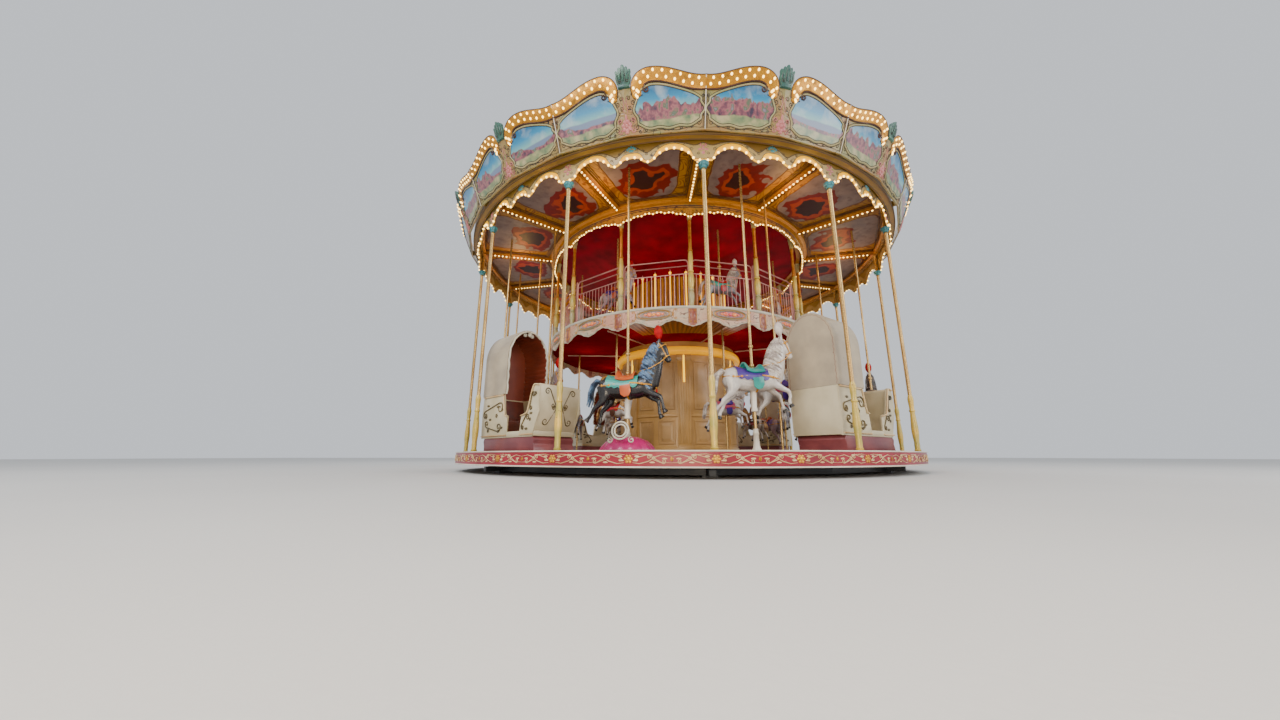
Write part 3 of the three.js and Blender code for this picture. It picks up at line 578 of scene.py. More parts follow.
class Palette:
    """The finishes that several pieces share."""

    STEEL = Lacquer("frame_steel_paint", "column_brass", "#3a3d41", "#26282b", 0.45, 0.3)
    PLANKS = Planks("deck_planks", "floor_boards")
    CRIMSON = Lacquer("crimson_gloss", "crimson_paint", "#980008", "#780006", 0.8, coat=0.0, chips="#5a0308",
                      chipped=0.82, shine=0.0)
    PINK = Lacquer("skirt_crimson_pink", "skirt_paint", "#9c0c26", "#7c061c", 0.4, chips="#d8b890",
                   chipped=0.78)
    WHITE = Lacquer("trim_white", "ivory_paint", "#d9cfc0", "#c0b49f", 0.4)
    IVORY = Lacquer("drum_ivory", "ivory_paint", "#bc9050", "#a0783c", 0.4, chipped=0.76)
    IVORY_DARK = Lacquer("panel_ivory", "ivory_paint", "#b48a50", "#946e38", 0.42, chipped=0.76)
    CREAM = Lacquer("carved_cream", "cream_carving", "#cfc7b4", "#b0ab98", 0.42)
    SAGE = Lacquer("carved_sage", "cream_carving", "#92905e", "#aa986a", 0.42)
    ROSE = Lacquer("rosette_pink", "cream_carving", "#c07a72", "#a85a5a", 0.42)
    MAUVE = Lacquer("plinth_dusky_red", "chariot_paint", "#8c4646", "#6c3036", 0.42)
    TEAL = Lacquer("carved_teal", "cream_carving", "#3f8a90", "#2a6670", 0.42, chips="#1b3c44", chipped=0.66)
    FINIAL = Lacquer("finial_green", "cream_carving", "#3e6a50", "#20484a", 0.42, chips="#1b3c44",
                     chipped=0.6)
    BRASS = Lacquer("pole_brass", "column_brass", "#c9a86a", "#a8834a", 0.26, 0.65, chips="#6e4c22")
    COLUMN = Gilding("column_gold_brown", "column_brass", "#b26a22", "#5a2e10", 0.3, 0.5)
    TURNED = Lacquer("turned_yellow_cream", "column_brass", "#d8b04a", "#a89a48", 0.34, 0.1, patches=5.0,
                     chips="#7a4a14", chipped=0.66)
    RAIL = Lacquer("rail_brass_tube", "rail_brass", "#c48c84", "#a46c66", 0.34, 0.35)
    GOLD = Gilding("gold_leaf", "gold_paint")
    RAIL_GOLD = Gilding("crest_gold", "gold_paint", "#b4760a", "#54380a", 0.42, 0.6, "#c8961c")
    BROWN = Lacquer("moulding_brown", "ceiling_ochre", "#4a2414", "#2c140c", 0.4)
    INK = Lacquer("scroll_black_brown", "board_paint", "#26201a", "#3a2c1e", 0.45)
    OCHRE = Gilding("ceiling_gold_ochre", "gold_paint", "#b07010", "#744008", 0.45, 0.1, "#c08818")
    COVE = Lacquer("cove_olive_gold", "ceiling_ochre", "#86681c", "#6c4c10", 0.5, 0.0, patches=1.2)
    # The yellow is the valance edges' own paint; their glow is painted light from the bulbs along them, as
    # the edges are no lamps.
    LIT_EDGE = Lacquer("edge_yellow_painted_glow", "lit_yellow", "#f8b600", "#eca400", 0.5, glow=0.6, chipped=0.9,
                       shine=0.2)
    # The cornice's yellow is its paint; its glow is painted light, as the cornice is no lamp.
    LIT_YELLOW = Lacquer("cornice_yellow_painted_glow", "lit_yellow", "#f8b200", "#eca000", 0.5, glow=0.55,
                         chipped=0.9, shine=0.2)
    BULB = Lamp("bulb_glass", "lit_yellow")
    TUBE = Lamp("light_tube", "lit_yellow", "#ffc81e", "#f09c0c", 1.6)
    FLOOR = Pavement("studio_floor", "")
    HOOF = Lacquer("hoof_dark", "horse_paint", "#2a201a", "#14100e", 0.4)
    ROD = Lacquer("crank_rod_pale", "column_brass", "#c8a088", "#a87a64", 0.35, 0.2)
    SCROLL_CREAM = Lacquer("skirt_scroll_cream", "cream_carving", "#dcc596", "#c49a66", 0.38, chips="#a01c3a",
                           chipped=0.68)
    # Pleats and drum stripes: dark in their grooves as painted shade, light on their ridges as painted light.
    PLEATS = Spokes("orange_brown_pleats", "lit_yellow", "#a8560c", "#601c04", 168)
    STRIPES = Spokes("drum_gold_stripes", "gold_paint", "#c4841a", "#5c3004", 84, 0.2)
    RED = Lacquer("red_ceiling_gloss", "crimson_paint", "#98001e", "#6c0012", 0.7, coat=0.0, chips="#5a0008",
                  chipped=0.84, shine=0.1)
    FASCIA = ScrollPaint("fascia_painted_scrolls", "cream_carving", "#bca688", "#c08a70", "#5e3a30",
                         "#80988c", 5.0, 6.0, 0.07)
    JEWEL = ScrollPaint("jewel_silver_pink", "cream_carving", "#b09c94", "#a4586a", "#4c2c34", "#8ca098",
                        9.0, 4.0, 0.1)
    # The gems glow a little as painted light; they are no lamps.
    GEM = Lacquer("fascia_gem", "cream_carving", "#eaa01c", "#d04a5c", 0.2, patches=9.0, glow=0.15,
                  chipped=0.9)
    RIM = Lacquer("fascia_silver_rim", "cream_carving", "#909c90", "#a8987c", 0.36, 0.3)
    SCROLL_BRONZE = Lacquer("chariot_scroll_bronze", "gold_paint", "#6e5a2c", "#3c3420", 0.4)
    MEDALLION = Lacquer("medallion_enamel", "cream_carving", "#9c6048", "#742c28", 0.35, patches=14.0,
                        chips="#3a6a4a", chipped=0.64)
    VALANCE = ScrollPaint("valance_painted_scrolls", "cream_carving", "#aa9058", "#947a46", "#4c3c24",
                          "#867e4c", 2.6, 5.0, 0.03)
    GOLD_SCROLL = ScrollPaint("inner_valance_gold", "gold_paint", "#c08a34", "#a87424", "#5c3412", "#8c8a4c",
                              5.0, 5.0, 0.05)
    # Painted shade: the ground and its second tone are the boards' sage paint made darker, since the boards
    # stand in shade.
    BOARD = ScrollPaint("board_painted_scrolls", "board_paint", "#847c44", "#946c3c", "#1c1710", "#6a7e56",
                        4.2, 6.0, 0.05)
    VIEW = Landscape("painted_view", "board_paint", 0.5)
    CEILING = CeilingPainting("coffer_painting", "ceiling_ochre")
    ROOF = Lacquer("roof_crimson_sheet", "roof_cover", "#8e1018", "#6c0a12", 0.42, patches=1.2)
    MAGENTA = Lacquer("shell_magenta", "shell_paint", "#c01c6a", "#8e1050", 0.3, coat=0.4, chips="#e0c0c8",
                      chipped=0.8)
    CHARIOT = Lacquer("chariot_cream", "chariot_paint", "#cfc2a2", "#b3a684", 0.36, chips="#8a6a3a",
                      chipped=0.74)
    SEAT = Lacquer("seat_red_brown", "crimson_paint", "#6e2c1c", "#4a1c12", 0.45, patches=5.0)
    HOOD = Lacquer("hood_pale_cover", "hood_cover", "#b8a88c", "#9a8c78", 0.45)
    LINING = Lacquer("hood_lining_brown", "hood_cover", "#8a3c22", "#682818", 0.5, patches=1.6)


# Modelling

Station = tuple[float, float, float, float, float]
MERGE = 0.00005


def linked(name: str, data: bpy.types.ID) -> Piece:
    """A new object in the scene.

    Args:
        name: Its name.
        data: Its data.

    Returns:
        The object.
    """
    made = bpy.data.objects.new(name, data)
    bpy.context.scene.collection.objects.link(made)
    return made


@dataclass
class Shape:
    """A piece under the modelling operators, used one step at a time as by hand. Each step gives it back."""

    piece: Piece

    @staticmethod
    def begin(operator: Callable, **sizes: object) -> "Shape":
        """Adds a primitive at its size and place, and puts its place into its mesh.

        Args:
            operator: What adds it.
            sizes: The operator's settings.

        Returns:
            The new piece.
        """
        bpy.ops.object.select_all(action="DESELECT")
        operator(**sizes)
        bpy.ops.object.transform_apply(location=True, rotation=True, scale=True)
        return Shape(bpy.context.object)

    @staticmethod
    def turned(profile: Sequence[Pair], steps: int = 16, filled: bool = True) -> "Shape":
        """A circle, extruded and resized from point to point of a profile.

        Args:
            profile: Pairs of radius and height.
            steps: Sides of the circle.
            filled: True to fill both ends, and False for a ring or an open shell.

        Returns:
            The turned piece, on the axis.
        """
        radius, height = profile[0]
        shape = Shape.begin(bpy.ops.mesh.primitive_circle_add, vertices=steps, radius=radius,
                            location=(0, 0, height))
        with shape.editing(outwards=True):
            for (before, low), (after, high) in pairwise(profile):
                bpy.ops.mesh.extrude_edges_move(TRANSFORM_OT_translate={"value": (0, 0, high - low)})
                share = after / before
                bpy.ops.transform.resize(value=(share, share, 1), center_override=(0, 0, high))
            bpy.ops.mesh.select_all(action="SELECT")
            if filled:
                bpy.ops.mesh.fill_holes(sides=0)
            else:
                bpy.ops.mesh.remove_doubles(threshold=MERGE)
        return shape.smooth()

    @staticmethod
    def ring(profile: Sequence[Pair], steps: int = ROUND_STEPS) -> "Shape":
        """A turned ring whose profile closes on itself."""
        return Shape.turned([*profile, profile[0]], steps, filled=False)

    @staticmethod
    def sheet(columns: int, rows: int, rule: Callable[[float, float], Point]) -> "Shape":
        """A grid whose corners a rule places from shares u and v. It faces -Y where u runs along +X."""
        shape = Shape.begin(bpy.ops.mesh.primitive_grid_add, x_subdivisions=columns, y_subdivisions=rows,
                            size=1)
        return shape.moved(lambda at: rule(at.x + 0.5, at.y + 0.5)).charted()

    @staticmethod
    def strip(width: float, columns: int, rows: int, low: Curve, high: Curve) -> "Shape":
        """A flat sheet, centred on x 0, between two curves that give its height at an x.

        Args:
            width: Its width.
            columns: Faces along it.
            rows: Faces up it.
            low: Height of its lower edge.
            high: Height of its upper edge.

        Returns:
            The sheet.
        """
        def rule(u: float, v: float) -> Point:
            """Place on the sheet."""
            x = (u - 0.5) * width
            return x, 0.0, low(x) + v * (high(x) - low(x))

        return Shape.sheet(columns, rows, rule)

    @staticmethod
    def prism(outline: Sequence[Pair], depth: float, bevel: float = 0.0) -> "Shape":
        """A flat outline in X and Z, extruded along Y and centred on y 0.

        Args:
            outline: Corners in X and Z.
            depth: Its depth.
            bevel: Width of its broken edges.

        Returns:
            The solid.
        """
        shape = Shape.begin(bpy.ops.mesh.primitive_circle_add, vertices=len(outline), radius=1,
                            fill_type="NGON")
        for vertex, (x, z) in zip(shape.piece.data.vertices, outline):
            vertex.co = (x, -depth / 2, z)
        with shape.editing(outwards=True):
            bpy.ops.mesh.extrude_region_move(TRANSFORM_OT_translate={"value": (0, depth, 0)})
        return shape.bevelled(bevel).charted().smooth()

    @staticmethod
    def slab(left: float, right: float, low: float, high: float, depth: float,
             bevel: float = 0.006) -> "Shape":
        """A board with broken edges, centred on y 0."""
        return Shape.prism([(left, low), (right, low), (right, high), (left, high)], depth, bevel)

    @staticmethod
    def tube(points: Sequence[Sequence[float]], radius: float, sides: int = 6, closed: bool = False,
             taper: Optional[Curve] = None) -> "Shape":
        """A round tube through points, from a curve that is turned into a mesh.

        Args:
            points: Places that the tube runs through.
            radius: Its radius.
            sides: Its sides, an even number from 4.
            closed: True for a loop.
            taper: Share of the radius at each share of the length.

        Returns:
            The tube.
        """
        curve = bpy.data.curves.new("tube", "CURVE")
        curve.dimensions = "3D"
        curve.bevel_depth = radius
        curve.bevel_resolution = (sides - 4) // 2
        curve.use_fill_caps = not closed
        spline = curve.splines.new("POLY")
        spline.points.add(len(points) - 1)
        for index, (point, place) in enumerate(zip(spline.points, points)):
            point.co = (*place, 1.0)
            point.radius = taper(index / (len(points) - 1)) if taper else 1.0
        spline.use_cyclic_u = closed
        Shape(linked("tube", curve)).hold()
        bpy.ops.object.convert(target="MESH")
        return Shape(bpy.context.object).smooth(60)

    @staticmethod
    def drawn(line: Sequence[Pair], radius: float, proud: float = 0.0, sides: int = 4,
              taper: bool = True) -> "Shape":
        """A line in X and Z as a slender raised tube on the face of a flat piece."""
        thinning = (lambda share: 0.35 + 0.65 * math.sin(math.pi * share)) if taper else None
        return Shape.tube([(x, -proud, z) for x, z in line], radius, sides, taper=thinning)

    @staticmethod
    def loft(stations: Sequence[Station], sides: int = 10) -> "Shape":
        """A closed skin through oval rings: a disc, extruded from ring to ring.

        Args:
            stations: x, y and z of each ring's centre, its half width across and its half depth.
            sides: Sides of the rings.

        Returns:
            The closed skin.
        """
        last = len(stations) - 1
        rings = []
        for index, (x, y, z, across, deep) in enumerate(stations):
            before, after = stations[max(index - 1, 0)], stations[min(index + 1, last)]
            along = Vector((after[0] - before[0], 0, after[2] - before[2])).normalized()
            columns = (Vector((0, across, 0)), Vector((-along.z, 0, along.x)) * deep, along,
                       Vector((x, y, z)))
            rings.append(Matrix([(*(column[row] for column in columns),) for row in range(3)]
                                + [(0, 0, 0, 1)]))
        shape = Shape.begin(bpy.ops.mesh.primitive_circle_add, vertices=sides, radius=1, fill_type="NGON")
        shape.piece.data.transform(rings[0])
        with shape.editing(outwards=True) as mesh:
            for before, after in pairwise(rings):
                bpy.ops.mesh.extrude_region_move()
                step = after @ before.inverted()
                for vertex in mesh.verts:
                    if vertex.select:
                        vertex.co = step @ vertex.co
        return shape.smooth(60)

    @staticmethod
    def ball(radius: float, place: Point, segments: int = 10, rings: int = 7,
             squash: Point = (1, 1, 1)) -> "Shape":
        """A small round bead, squashed along the axes."""
        shape = Shape.begin(bpy.ops.mesh.primitive_uv_sphere_add, segments=segments, ring_count=rings,
                            radius=radius)
        return shape.put(Matrix.Translation(place) @ Matrix.Diagonal((*squash, 1))).smooth(80)

    @staticmethod
    def joined(shapes: Sequence["Shape"]) -> "Shape":
        """Several shapes as one.

        Args:
            shapes: The shapes, of which the first takes the others in.

        Returns:
            The joined piece.
        """
        shapes[0].hold()
        for shape in shapes:
            shape.piece.select_set(True)
        if len(shapes) > 1:
            bpy.ops.object.join()
        return Shape(bpy.context.object)

    def hold(self) -> "Shape":
        """Makes the piece the only selected one and the active one.

        Returns:
            The same piece.
        """
        bpy.ops.object.select_all(action="DESELECT")
        self.piece.select_set(True)
        bpy.context.view_layer.objects.active = self.piece
        return self

    @contextmanager
    def editing(self, outwards: bool = False) -> Iterator[bmesh.types.BMesh]:
        """Edit mode with everything selected. At its end the faces are turned outwards, where asked.

        Args:
            outwards: True to turn the faces outwards.

        Yields:
            The mesh in edit mode.
        """
        self.hold()
        bpy.ops.object.mode_set(mode="EDIT")
        bpy.ops.mesh.select_all(action="SELECT")
        yield bmesh.from_edit_mesh(self.piece.data)
        if outwards:
            bpy.ops.mesh.select_all(action="SELECT")
            bpy.ops.mesh.normals_make_consistent(inside=False)
        bpy.ops.object.mode_set(mode="OBJECT")

    def inset(self, *steps: Pair) -> "Shape":
        """Insets the faces, by pairs of thickness and depth.

        Args:
            steps: Pairs of thickness and depth.

        Returns:
            The same piece.
        """
        with self.editing():
            for thickness, depth in steps:
                bpy.ops.mesh.inset(thickness=thickness, depth=depth)
        return self

    def modified(self, kind: str, **settings: object) -> "Shape":
        """Adds a modifier and applies it.

        Args:
            kind: The modifier's type.
            settings: Its settings.

        Returns:
            The same piece.
        """
        self.hold()
        modifier = self.piece.modifiers.new(kind.title(), kind)
        for name, value in settings.items():
            setattr(modifier, name, value)
        bpy.ops.object.modifier_apply(modifier=modifier.name)
        return self

    def bevelled(self, bevel: float) -> "Shape":
        """Breaks the sharp edges, unless the bevel is 0."""
        return self.modified("BEVEL", width=bevel, segments=2, limit_method="ANGLE") if bevel else self

    def thick(self, thickness: float, bevel: float = 0.0) -> "Shape":
        """Gives a sheet its thickness, inwards, and breaks its edges."""
        return self.modified("SOLIDIFY", thickness=thickness, offset=-1.0).bevelled(bevel)

    def outwards(self) -> "Shape":
        """Merges doubles and turns all faces outwards."""
        with self.editing(outwards=True):
            bpy.ops.mesh.remove_doubles(threshold=MERGE)
        return self

    def smooth(self, degrees: float = 35.0) -> "Shape":
        """Shades the piece smooth, but for edges sharper than the angle.

        Args:
            degrees: The angle.

        Returns:
            The same piece.
        """
        self.hold()
        bpy.ops.object.shade_smooth_by_angle(angle=math.radians(degrees))
        return self

    def charted(self, chart: Callable[[Vector], Pair] = lambda at: (at.x, at.z)) -> "Shape":
        """Writes each corner's x and z, or what else a rule makes of its place, into the UV map.

        Args:
            chart: The rule.

        Returns:
            The same piece.
        """
        data = self.piece.data
        layer = data.uv_layers.active or data.uv_layers.new(name="UVMap")
        for loop in data.loops:
            layer.data[loop.index].uv = chart(data.vertices[loop.vertex_index].co)
        return self

    def moved(self, rule: Callable[[Vector], Point]) -> "Shape":
        """Moves each vertex to where a rule puts it.

        Args:
            rule: Gives the new place for an old one.

        Returns:
            The same piece.
        """
        for vertex in self.piece.data.vertices:
            vertex.co = rule(vertex.co)
        self.piece.data.update()
        return self

    def put(self, move: Matrix) -> "Shape":
        """Puts a move into the mesh.

        Args:
            move: The move.

        Returns:
            The same piece.
        """
        self.piece.data.transform(move)
        self.piece.data.update()
        return self

    def shifted(self, x: float = 0.0, y: float = 0.0, z: float = 0.0) -> "Shape":
        """Moves the piece along the axes."""
        return self.put(Matrix.Translation((x, y, z)))

    def wrapped(self, radius: float, lean: float = 0.0, foot: float = 0.0, faceted: bool = False) -> "Shape":
        """Bends a flat piece round the axis: x runs along the ring at radius, and -y outwards.

        Args:
            radius: Radius of the ring at y 0 and height foot.
            lean: How far the ring leans outwards for each metre of height.
            foot: Height at which the ring has its radius.
            faceted: True for a ring of flat boards, half a section wide, with corners at the radius.

        Returns:
            The bent piece.
        """
        def rule(at: Vector) -> Point:
            """Place on the ring.

            Args:
                at: Place on the flat piece.

            Returns:
                The bent place.
            """
            out = radius - at.y + lean * (at.z - foot)
            angle = at.x / radius
            if faceted:
                out *= math.cos(SECTION / 4) / math.cos(abs(angle) % (SECTION / 2) - SECTION / 4)
            return out * math.sin(angle), -out * math.cos(angle), at.z

        return self.moved(rule)

    def twin(self, move: Matrix) -> "Shape":
        """A moved copy of the piece, with its own mesh.

        Args:
            move: The move.

        Returns:
            The copy.
        """
        mesh = self.piece.data.copy()
        mesh.transform(move)
        if move.determinant() < 0:
            mesh.flip_normals()
        return Shape(linked(self.piece.name, mesh))

    def copies(self, moves: Iterable[Matrix]) -> "Shape":
        """Moved copies of the piece, joined into one that takes its place.

        Args:
            moves: The move of each copy.

        Returns:
            The joined copies.
        """
        made = [self.twin(move) for move in moves]
        bpy.data.objects.remove(self.piece)
        return Shape.joined(made)

    def round_about(self, count: int = SECTIONS, shift: float = 0.0) -> "Shape":
        """Copies of the piece, evenly round the axis."""
        return self.copies([placed(shift + index * TURN / count) for index in range(count)])

    def spread(self, radius: float, shift: float = SECTION / 2, count: int = SECTIONS) -> "Shape":
        """Bends a flat piece onto a round face, and repeats it with the first copy at an angle."""
        return self.wrapped(radius).round_about(count, shift)

    def stood(self, radius: float) -> "Shape":
        """Moves a piece made on the axis out to the radius of the poles, and repeats it at each of them."""
        return self.shifted(y=-radius).round_about()

    def mirrored(self, across: bool = False) -> "Shape":
        """The piece with its mirror image across x 0, or across y 0."""
        return self.copies([Matrix.Identity(4), Matrix.Diagonal((1, -1, 1, 1) if across else (-1, 1, 1, 1))])

    def flipped(self, wanted: bool = True) -> "Shape":
        """Turns the faces round, where wanted."""
        if wanted:
            self.piece.data.flip_normals()
        return self

    def dressed(self, finish: Finish) -> "Shape":
        """Gives the piece its finish.

        Args:
            finish: The finish.

        Returns:
            The same piece.
        """
        self.piece.data.materials.clear()
        self.piece.data.materials.append(finish.material())
        return self

    def handed(self, name: str, finish: Finish, *replaced: str, body: str = CAROUSEL) -> "Shape":
        """Names a finished piece and gives it to its body. A bare piece is dressed first.

        Args:
            name: Its name.
            finish: Its finish, or its main one, which it is dressed in when it has no material.
            replaced: CAD nodes that it stands for.
            body: The body that it rides on.

        Returns:
            The same piece.
        """
        data = self.piece.data
        if not data.materials:
            self.dressed(finish)
        self.piece.name = data.name = name
        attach(self.piece, body)
        if replaced:
            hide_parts(*replaced)
        LOG.info("%s: %d faces", name, len(data.polygons))
        return self


# Sizes read from the frame, and lines drawn on flat pieces

def outer_radius(node: str) -> float:
    """Outer radius of a round CAD node, which has a corner at angle 0."""
    return -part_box(node)[0].y


def foot_of(node: str) -> float:
    """Lowest height of a CAD node."""
    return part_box(node)[0].z


def top_of(node: str) -> float:
    """Greatest height of a CAD node."""
    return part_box(node)[1].z


def placed(angle: float, radius: float = 0.0, height: float = 0.0) -> Matrix:
    """Moves a piece made on the axis out to a radius and round to an angle."""
    return Matrix.Rotation(angle, 4, "Z") @ Matrix.Translation((0, -radius, height))


def outer_angle(slot: int) -> float:
    """Angle of a place in the outer row."""
    return (slot - 0.61) * SECTION


def turn_of(at: Vector) -> float:
    """Angle of a place round the axis."""
    return math.atan2(at.x, -at.y)


def middle_share(x: float, width: float) -> float:
    """0 at a pole and 1 in the middle of a section that is centred on x 0."""
    return 1.0 - min(abs(x) / (width / 2), 1.0)


def line_of(rule: Curve, start: float, stop: float, steps: int) -> list[Pair]:
    """Points of a curve z = rule(x)."""
    places = (start + (stop - start) * index / steps for index in range(steps + 1))
    return [(x, rule(x)) for x in places]


def through(points: Sequence[Pair], x: float) -> float:
    """Height at x of a smooth curve through points.

    Args:
        points: The points, by rising x.
        x: Where the height is wanted.

    Returns:
        The height.
    """
    last = len(points) - 1
    index = next((i for i in range(last) if x <= points[i + 1][0]), last - 1)
    slopes = []
    for at in (index, index + 1):
        before, after = points[max(at - 1, 0)], points[min(at + 1, last)]
        slopes.append((after[1] - before[1]) / (after[0] - before[0]))
    (start, low), (stop, high) = points[index], points[index + 1]
    width = stop - start
    share = (x - start) / width
    rest = 1 - share
    level = low * (1 + 2 * share) * rest ** 2 + high * (3 - 2 * share) * share ** 2
    return level + width * share * rest * (slopes[0] * rest - slopes[1] * share)


def blend(first: Pair, second: Pair, share: float) -> Pair:
    """A point between two others."""
    return first[0] + (second[0] - first[0]) * share, first[1] + (second[1] - first[1]) * share


def paced(points: Sequence[Pair], pitch: float) -> list[Pair]:
    """Points at an even pace along a line, with half a pace left at each end.

    Args:
        points: The line.
        pitch: Wanted pace.

    Returns:
        The points.
    """
    lengths = [math.dist(a, b) for a, b in pairwise(points)]
    total = sum(lengths)
    count = max(int(total / pitch), 1)
    wanted = [(index + 0.5) * total / count for index in range(count)]
    found, gone = [], 0.0
    for (a, b), length in zip(pairwise(points), lengths):
        while wanted and wanted[0] <= gone + length:
            found.append(blend(a, b, (wanted.pop(0) - gone) / length))
        gone += length
    return found


def between(first: Sequence[Pair], second: Sequence[Pair], u: float, v: float, y: float) -> Point:
    """Place between two lines of as many points: u along them, and v from the first to the second.

    Args:
        first: One line.
        second: The other line.
        u: Share along them.
        v: Share of the way across.
        y: The place's y.

    Returns:
        The place.
    """
    step = u * (len(first) - 1)
    index = min(int(step), len(first) - 2)
    ends = [blend(line[index], line[index + 1], step - index) for line in (first, second)]
    x, z = blend(*ends, v)
    return x, y, z


def volute(x: float, z: float, size: float, start: float, turns: float, steps: int = 20) -> list[Pair]:
    """A spiral that winds into its eye at x, z, from an angle in degrees; turns below 0 wind clockwise.

    Args:
        x: The eye's x.
        z: The eye's height.
        size: Radius of the outer end.
        start: Angle of the outer end.
        turns: Number of turns.
        steps: Steps along it.

    Returns:
        Its points, from the outer end.
    """
    points = []
    for index in range(steps + 1):
        share = index / steps
        angle = math.radians(start) + turns * TURN * share
        away = size * (1 - 0.86 * share)
        points.append((x + away * math.cos(angle), z + away * math.sin(angle)))
    return points


def c_scroll(x: float, z: float, length: float, size: float, lean: float, flip: int = 1) -> list[Pair]:
    """A long curl with a volute at each end, leaning by an angle in degrees.

    Args:
        x: Middle's x.
        z: Middle's height.
        length: Distance between the eyes.
        size: Radius of the larger volute.
        lean: The angle.
        flip: -1 for the mirror image.

    Returns:
        Its points.
    """
    ends = volute(length / 2, 0, size, 90, -1.3), volute(-length / 2, 0, size * 0.8, 90, 1.3)
    cosine, sine = math.cos(math.radians(lean)), math.sin(math.radians(lean))
    return [(x + px * cosine - pz * flip * sine, z + px * sine + pz * flip * cosine)
            for px, pz in (*reversed(ends[1]), *ends[0])]


def waved(at: Vector, waves: int, depth: float, beyond: float) -> Point:
    """Presses even waves into the outer face of a turned piece.

    Args:
        at: Place on the piece.
        waves: Waves round the axis.
        depth: Their depth.
        beyond: Radius from which on they are pressed in.

    Returns:
        The new place.
    """
    out = math.hypot(at.x, at.y)
    if out < beyond:
        return tuple(at)
    share = (out - depth * (1 + math.cos(turn_of(at) * waves)) / 2) / out
    return at.x * share, at.y * share, at.z


def lobed(at: Vector, lobes: int, depth: float) -> Point:
    """Draws a round shape in between its lobes."""
    share = 1 - depth * (1 - abs(math.cos(turn_of(at) * lobes / 2)))
    return at.x * share, at.y * share, at.z


def offset_line(line: Sequence[Pair], away: Curve) -> list[Pair]:
    """A line moved to its left by a distance that depends on the share of the line gone by.

    Args:
        line: The line.
        away: The distance at each share.

    Returns:
        The moved line.
    """
    moved = []
    for index, (x, z) in enumerate(line):
        before, after = line[max(index - 1, 0)], line[min(index + 1, len(line) - 1)]
        along = Vector((after[0] - before[0], after[1] - before[1])).normalized()
        width = away(index / (len(line) - 1))
        moved.append((x - along.y * width, z + along.x * width))
    return moved


def offset_loop(line: Sequence[Pair], away: float) -> list[Pair]:
    """A closed line moved to its right by a distance.

    Args:
        line: The line.
        away: The distance.

    Returns:
        The moved line.
    """
    moved = []
    for index, (x, z) in enumerate(line):
        before, after = line[index - 2], line[(index + 2) % len(line)]
        along = Vector((after[0] - before[0], after[1] - before[1])).normalized()
        moved.append((x + along.y * away, z - along.x * away))
    return moved


def curls(rows: Iterable[Sequence[float]], radius: float, proud: float) -> list[Shape]:
    """Raised volutes, from rows of x, z, size, start and turns."""
    return [Shape.drawn(volute(*row), radius, proud) for row in rows]


def beads(rows: Iterable[tuple[float, float, float, Point]], y: float = -0.002) -> list[Shape]:
    """Squashed beads on a flat face, from rows of radius, x, z and squash."""
    return [Shape.ball(radius, (x, y, z), 8, 5, squash) for radius, x, z, squash in rows]


def bulbs(radius: float, places: Iterable[Point]) -> Shape:
    """Small frosted globes at the given places, as one piece."""
    return Shape.ball(radius, (0, 0, 0), 8, 5).copies([Matrix.Translation(place) for place in places])


def kept(node: str, finish: Finish) -> None:
    """Leaves a CAD node showing, in a finish of its own.

    Args:
        node: The node's name.
        finish: Its finish.
    """
    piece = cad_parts[node]
    if not piece.material_slots:
        piece.data.materials.append(None)
    for place in piece.material_slots:
        place.material = finish.material()


# The turning deck

